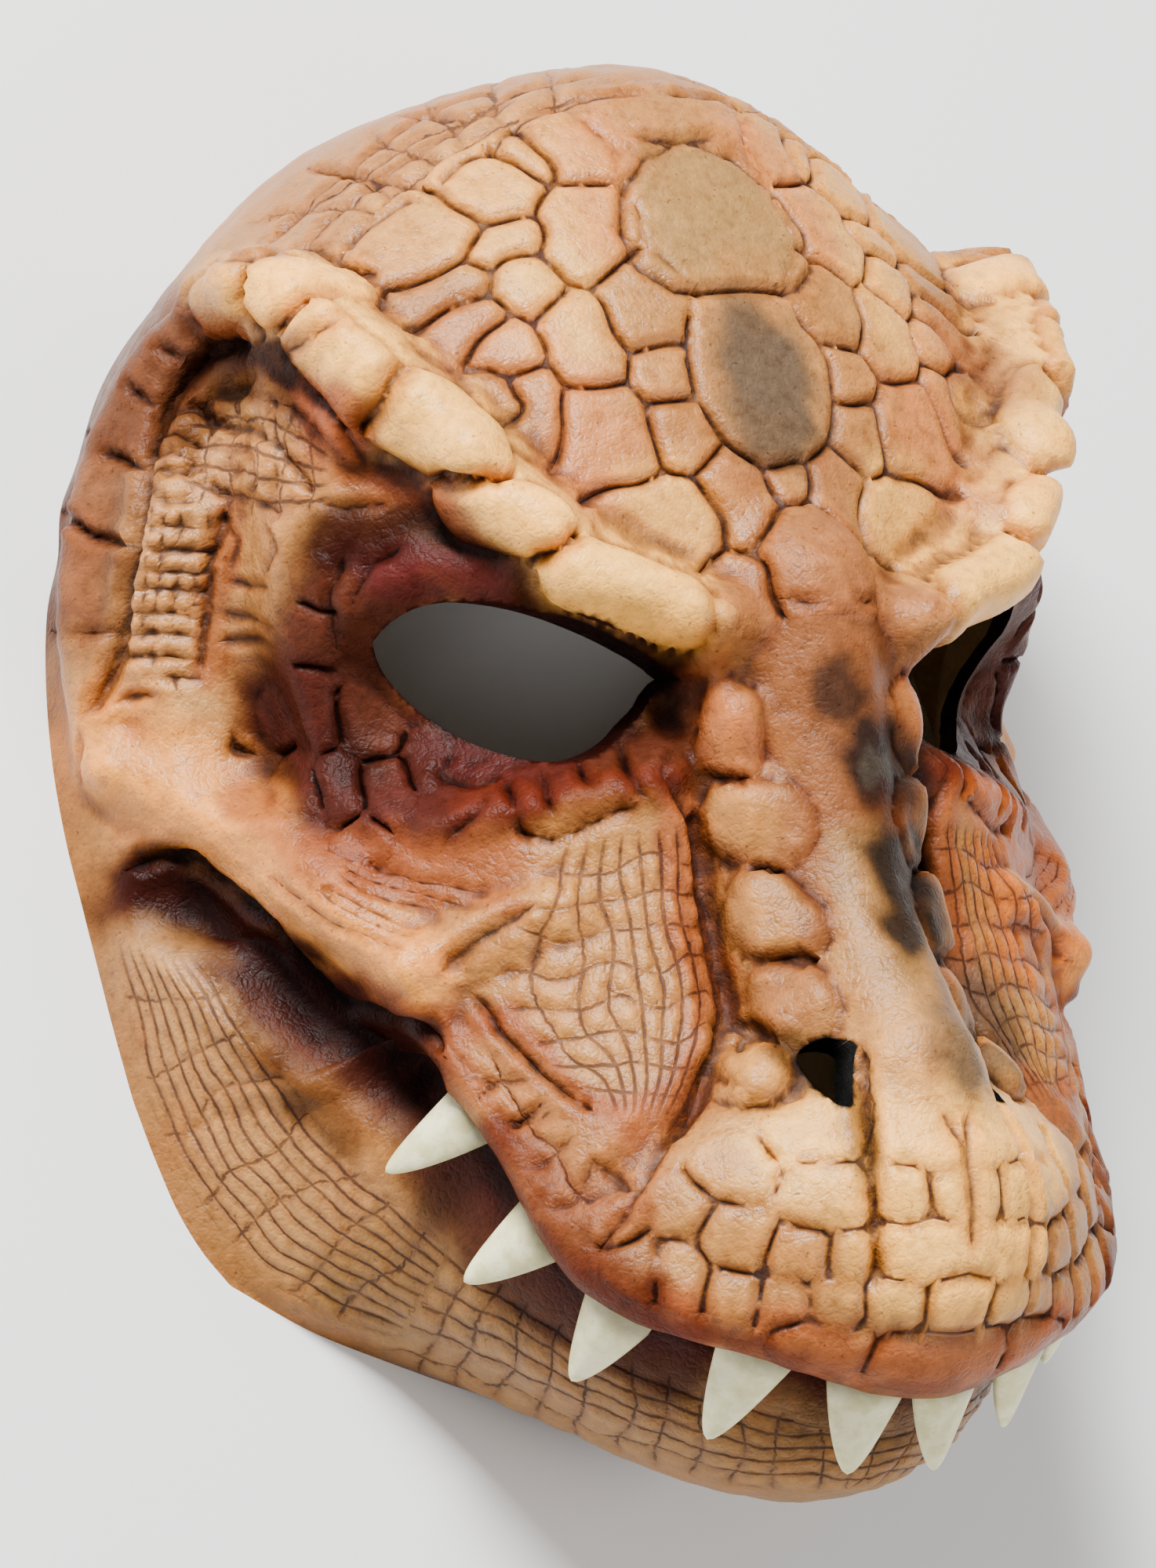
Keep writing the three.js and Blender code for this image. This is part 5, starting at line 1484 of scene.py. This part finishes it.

# %% Skin: wash in the grooves, stain beside them, painted shade in the hollows, painted highlight on ridges
# The first tint is a brown stain beside the grooves and painted shade in the hollows, the second a dark wash
# in the grooves and painted shade in the deep hollows, the third a painted highlight on the ridges
STAIN_AND_SHADE = (0.7, 0.54, 0.38, 1)
WASH_AND_SHADE = (0.09, 0.05, 0.03, 1)
RIDGE_HIGHLIGHT = (1.35, 1.35, 1.3, 1)
line = bench.ramp(seam_value, 0.55, 0.12, 0, 1)
cracked = bench.ramp(crease_value, 0.85, 0.2, 0, 0.95)
# painted shade in the deep hollows, laid on with the wash
deep = bench.ramp(hollow_value, 0.1, 0.8, 0, 0.85)
uneven = bench.ramp(bench.noise(place, 260, 3), 0.3, 0.6, 0.6, 1)
wash_and_shade = bench.maths("MULTIPLY", bench.strongest(line, cracked, deep, woven), uneven)
beside_seam = bench.ramp(seam_value, 3.0, 0.3, 0, 0.75)
beside_crease = bench.ramp(crease_value, 4.0, 0.5, 0, 0.7)
# painted shade in the broad hollows
hollow_shade = bench.ramp(hollow_value, 0.03, 0.4, 0, 0.8)
stain_and_shade = bench.strongest(beside_seam, beside_crease, lattice_stain, hollow_shade)
stained_and_shaded = bench.blend(stain_and_shade, pitted, STAIN_AND_SHADE, "MULTIPLY")
washed_and_shaded = bench.blend(wash_and_shade, stained_and_shaded, WASH_AND_SHADE, "MULTIPLY")
# painted highlight: the ridges and raised edges are paler
ridge_highlight = bench.ramp(hollow_value, -0.08, -0.7, 0, 0.8)
finished = bench.blend(ridge_highlight, washed_and_shaded, RIDGE_HIGHLIGHT, "MULTIPLY")
plain = bench.blend(bench.ramp(patches, 0.35, 0.65), rgba(POTS["bone"]), rgba(POTS["sand"]))

# %% Skin: pores and sheen
PORES = 620  # to the metre
BUMP_DEPTH = 0.0004  # metres
pores = bench.node("ShaderNodeTexVoronoi", {"Vector": place, "Scale": PORES}, feature="DISTANCE_TO_EDGE")
cells = bench.ramp(pores.outputs["Distance"], 0.0, 0.25, 0, 1)
relief = bench.maths("ADD", bench.maths("MULTIPLY", cells, 0.45), grain)
relief = bench.maths("ADD", relief, bench.maths("MULTIPLY", mottle, 1.6))
seam_edge = bench.ramp(seam_value, 0.05, 0.7, -2.2, 0)
crease_edge = bench.ramp(crease_value, 0.05, 1.0, -1.8, 0)
relief = bench.maths("ADD", relief, bench.maths("MINIMUM", seam_edge, crease_edge))
relief = bench.maths("SUBTRACT", relief, bench.maths("MULTIPLY", woven, 1.6))
bump = bench.node("ShaderNodeBump", {"Strength": 0.35, "Distance": BUMP_DEPTH, "Height": relief})
satin = bench.ramp(mottle, 0.3, 0.7, 0.3, 0.48)
gloss = bench.maths("ADD", satin, bench.maths("MULTIPLY", wash_and_shade, 0.35))
brightness = bench.node("ShaderNodeRGBToBW", {0: base_paint})
bench.join(shader, {
    "Base Color": bench.blend(inside_value, finished, plain),
    "Normal": bump.outputs["Normal"],
    "Roughness": bench.maths("MAXIMUM", gloss, bench.maths("MULTIPLY", inside_value, 0.6)),
    "Specular IOR Level": bench.ramp(brightness.outputs[0], 0.02, 0.22, 0.07, 0.34),
})
skin.data.materials.clear()
skin.data.materials.append(skin_material)
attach(skin, "root")
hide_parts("skin")
print("skin material has", len(bench.tree.nodes), "nodes")

# %% [markdown]
# ## The teeth
#
# Hard casting resin makes the teeth: broad at the gum, keeled along the middle, and slightly hooked. They
# are ivory with a greenish cast, browner where they leave the lip. Each could be modelled by hand, but all
# ten follow one rule and differ only in size and place. One tree of Geometry Nodes therefore grows them: it
# sweeps a circle along a short line into a tube, and moves each point of the tube to where the rule puts it.

# %% The tree that grows a tooth
TOOTH_SIDES = 40
TOOTH_RINGS = 18  # the root's and the point's among them
TOOTH_CROWDING = 1.2  # how much closer the rings lie at the point than at the gum
TOOTH_BLUNTNESS = 1.6  # 2 gives an oval, less gives a keel along the middle
TOOTH_HOOK = 0.35  # mm
TOOTH_SIZES = ("Length", "Root Length", "Width", "Depth", "Hook", "Taper", "Bluntness", "Crowding")
TOOTH_PLACES = ("Gum", "Across", "Through", "Axis")
POINT_GAP = 1e-6  # metres; the vertices of the last ring lie closer than this and become one

# %% Its inputs
def tooth_inputs(tree):
    """Names what goes into the tree and out of it, and returns the inputs."""
    tree.interface.new_socket("Geometry", in_out="OUTPUT", socket_type="NodeSocketGeometry")
    kinds = [("Geometry", "Geometry"), ("Resin", "Material")]
    kinds += [(label, "Float") for label in TOOTH_SIZES] + [(label, "Vector") for label in TOOTH_PLACES]
    for label, kind in kinds:
        tree.interface.new_socket(label, in_out="INPUT", socket_type="NodeSocket" + kind)
    return Bench(tree).node("NodeGroupInput").outputs


# %% Its nodes
def tooth_tree():
    """Grows one tooth from its sizes in metres, its gum's middle and its three directions."""
    tree = bpy.data.node_groups.new("grow_tooth", "GeometryNodeTree")
    tree.is_modifier = True
    given = tooth_inputs(tree)
    bench = Bench(tree)
    maths = bench.maths

    line = bench.node("GeometryNodeCurvePrimitiveLine").outputs[0]
    rings = bench.node("GeometryNodeResampleCurve", {"Curve": line, "Count": TOOTH_RINGS}).outputs[0]
    circle = bench.node("GeometryNodeCurvePrimitiveCircle", {"Resolution": TOOTH_SIDES}).outputs[0]
    sweep = {"Curve": rings, "Profile Curve": circle, "Fill Caps": True}
    tube = bench.node("GeometryNodeCurveToMesh", sweep).outputs[0]

    here = bench.node("GeometryNodeInputPosition").outputs[0]
    cosine, sine, height = bench.node("ShaderNodeSeparateXYZ", {0: here}).outputs
    first_step = 1 / (TOOTH_RINGS - 1)  # the first ring is the root's, the second lies at the gum
    past_gum = maths("MAXIMUM", maths("DIVIDE", maths("SUBTRACT", height, first_step), 1 - first_step), 0.0)
    left_over = maths("MAXIMUM", maths("SUBTRACT", 1.0, past_gum), 0.0)
    share = maths("SUBTRACT", 1.0, maths("POWER", left_over, given["Crowding"]))
    taper = maths("POWER", maths("SUBTRACT", 1.0, share), given["Taper"])
    powers = [maths("POWER", maths("ABSOLUTE", value), given["Bluntness"]) for value in (cosine, sine)]
    ring = maths("POWER", maths("ADD", *powers), maths("DIVIDE", -1.0, given["Bluntness"]))
    radius = maths("MULTIPLY", maths("MULTIPLY", taper, ring), 0.5)
    across = maths("MULTIPLY", maths("MULTIPLY", radius, cosine), given["Width"])
    through = maths("MULTIPLY", maths("MULTIPLY", radius, sine), given["Depth"])
    bow = maths("SINE", maths("MULTIPLY", share, math.pi))
    through = maths("SUBTRACT", through, maths("MULTIPLY", bow, given["Hook"]))
    sunk = maths("MULTIPLY", maths("LESS_THAN", height, first_step / 2), given["Root Length"])
    along_axis = maths("SUBTRACT", maths("MULTIPLY", share, given["Length"]), sunk)

    point = given["Gum"]
    for direction, amount in (("Across", across), ("Through", through), ("Axis", along_axis)):
        part = {0: given[direction], "Scale": amount}
        moved = bench.node("ShaderNodeVectorMath", part, operation="SCALE").outputs[0]
        point = bench.node("ShaderNodeVectorMath", {0: point, 1: moved}, operation="ADD").outputs[0]
    grown_parts = (
        ("GeometryNodeStoreNamedAttribute", {"Name": "along", "Value": share}),
        ("GeometryNodeSetPosition", {"Position": point}),
        ("GeometryNodeMergeByDistance", {"Distance": POINT_GAP}),
        ("GeometryNodeRealizeInstances", {}),
        ("GeometryNodeSetMaterial", {"Material": given["Resin"]}),
        ("NodeGroupOutput", {}),
    )
    for kind, inputs in grown_parts:
        made = bench.node(kind, {0: tube, **inputs})
        tube = made.outputs[0] if made.outputs else None
    return tree


# %% A piece from the tree
def grown(name, tree, settings):
    """A piece at the origin, grown by a tree from its named inputs."""
    piece = in_scene(name, bpy.data.meshes.new(name))
    modifier = piece.modifiers.new("grow", "NODES")
    modifier.node_group = tree
    identifiers = {item.name: item.identifier for item in tree.interface.items_tree if item.in_out == "INPUT"}
    for label, value in settings.items():
        modifier[identifiers[label]] = value
    mesh = take_shape(piece)
    print(name, "has", len(mesh.vertices), "vertices and", face_outwards(mesh), "open edges")
    return piece


# %% Resin
IVORY = "e6e2bc"
MILK = "f6f2d6"
AGE = "b5b084"
ROOT_BROWN = "6b4a2c"
GRAIN_DEPTH = 0.0003  # metres
tooth_material, bench, shader = new_material("tooth_resin")
place = bench.node("ShaderNodeTexCoord").outputs["Object"]
cloud = bench.noise(place, 300, 4)
streaks = bench.noise(place, 1500, 3)
ivory = bench.blend(bench.ramp(cloud, 0.35, 0.65), rgba(IVORY), rgba(MILK))
aged = bench.blend(bench.ramp(streaks, 0.55, 0.75, 0, 0.2), ivory, rgba(AGE))
# browner towards the root, where the tooth leaves the lip
root_browning = bench.maths("MULTIPLY", bench.ramp(bench.attribute("along"), 0.25, 0.0), 0.6)
bump = bench.node("ShaderNodeBump", {"Strength": 0.25, "Distance": GRAIN_DEPTH, "Height": streaks})
bench.join(shader, {
    "Base Color": bench.blend(root_browning, aged, rgba(ROOT_BROWN)),
    "Normal": bump.outputs["Normal"],
    "Roughness": bench.ramp(cloud, 0.3, 0.7, 0.38, 0.58),
})

# %% Teeth
TOOTH_SHARP = math.radians(55)  # edges sharper than this aren't shaded smooth
grow_tooth = tooth_tree()
for mirror, side_name in ((1, "right"), (-1, "left")):
    for number, (column, tip, width, depth) in enumerate(TEETH, 1):
        gum, axis, sideways, thick = root_frame(column, tip)
        flip = np.array([mirror, 1, 1])
        settings = {
            "Length": float(np.linalg.norm(tip - gum)) * MM, "Root Length": TOOTH_ROOT * MM,
            "Width": width * MM, "Depth": depth * MM, "Hook": TOOTH_HOOK * MM,
            "Taper": TOOTH_TAPER, "Bluntness": TOOTH_BLUNTNESS, "Crowding": TOOTH_CROWDING,
            "Gum": tuple((gum * flip + [0, CENTRE_SHIFT, 0]) * MM), "Axis": tuple(axis * flip),
            "Across": tuple(sideways * flip * mirror), "Through": tuple(thick * flip),
            "Resin": tooth_material,
        }
        piece = grown(f"resin_tooth_{side_name}_{number}", grow_tooth, settings)
        piece.data.shade_smooth()
        piece.data.set_sharp_from_angle(angle=TOOTH_SHARP)
        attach(piece, "root")
        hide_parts(f"tooth_{side_name}_{number}")
print("teeth made:", 2 * len(TEETH))

# %% [markdown]
# ## Floor, light and camera
#
# A pale floor under the mask, a soft key light over the forehead, a larger and weaker one at the chin, and
# a pale sky that fills the shadows.

# %% Studio
FLOOR_REACH = 3.0  # metres to each side
# Name, direction, distance, size and power of each light
LIGHTS = [
    ("key", (-0.5, 0.66, 0.9), 1.2, 0.45, 46),
    ("fill", (0.5, -0.8, 0.9), 1.5, 1.0, 14),
]
LIGHT_CENTRE = Vector((0, 0, 0.05))  # the place that the lights face
SKY_STRENGTH = 0.32
SENSOR = 36  # mm
CLIP_END = 20  # metres, well behind the floor
floor_mesh = bpy.data.meshes.new("floor")
floor_corners = [(x * FLOOR_REACH, y * FLOOR_REACH, 0) for x, y in ((-1, -1), (1, -1), (1, 1), (-1, 1))]
floor_mesh.from_pydata(floor_corners, [], [(0, 1, 2, 3)])
floor = in_scene("floor", floor_mesh)
floor_material, bench, shader = new_material("pale_floor")
shader.inputs["Base Color"].default_value = (0.86, 0.86, 0.85, 1)
shader.inputs["Roughness"].default_value = 0.9
floor.data.materials.append(floor_material)

world = bpy.data.worlds.new("studio")
world.use_nodes = True
world.node_tree.nodes["Background"].inputs["Color"].default_value = (1, 1, 1, 1)
world.node_tree.nodes["Background"].inputs["Strength"].default_value = SKY_STRENGTH
bpy.context.scene.world = world

# %% Lights
for name, direction, distance, size, power in LIGHTS:
    lamp = bpy.data.lights.new(name, "AREA")
    lamp.size = size
    lamp.energy = power
    towards = Vector(direction).normalized()
    light = in_scene(name, lamp)
    light.location = towards * distance + LIGHT_CENTRE
    light.rotation_euler = towards.to_track_quat("Z", "Y").to_euler()
print("lights:", len(LIGHTS))

# %% Camera
camera_data = bpy.data.cameras.new("camera")
camera_data.sensor_fit = "VERTICAL"
camera_data.sensor_height = SENSOR
camera_data.lens = FOCAL * SENSOR / PHOTO_HEIGHT
camera_data.clip_end = CLIP_END
camera = in_scene("camera", camera_data)
rotation = Matrix([[VIEW[column][row] for column in range(3)] for row in range(3)]).to_4x4()
camera.matrix_world = Matrix.Translation(Vector((CAMERA_PLACE + [0, CENTRE_SHIFT, 0]) * MM)) @ rotation
bpy.context.scene.camera = camera
print("lens", round(camera_data.lens, 1), "mm")
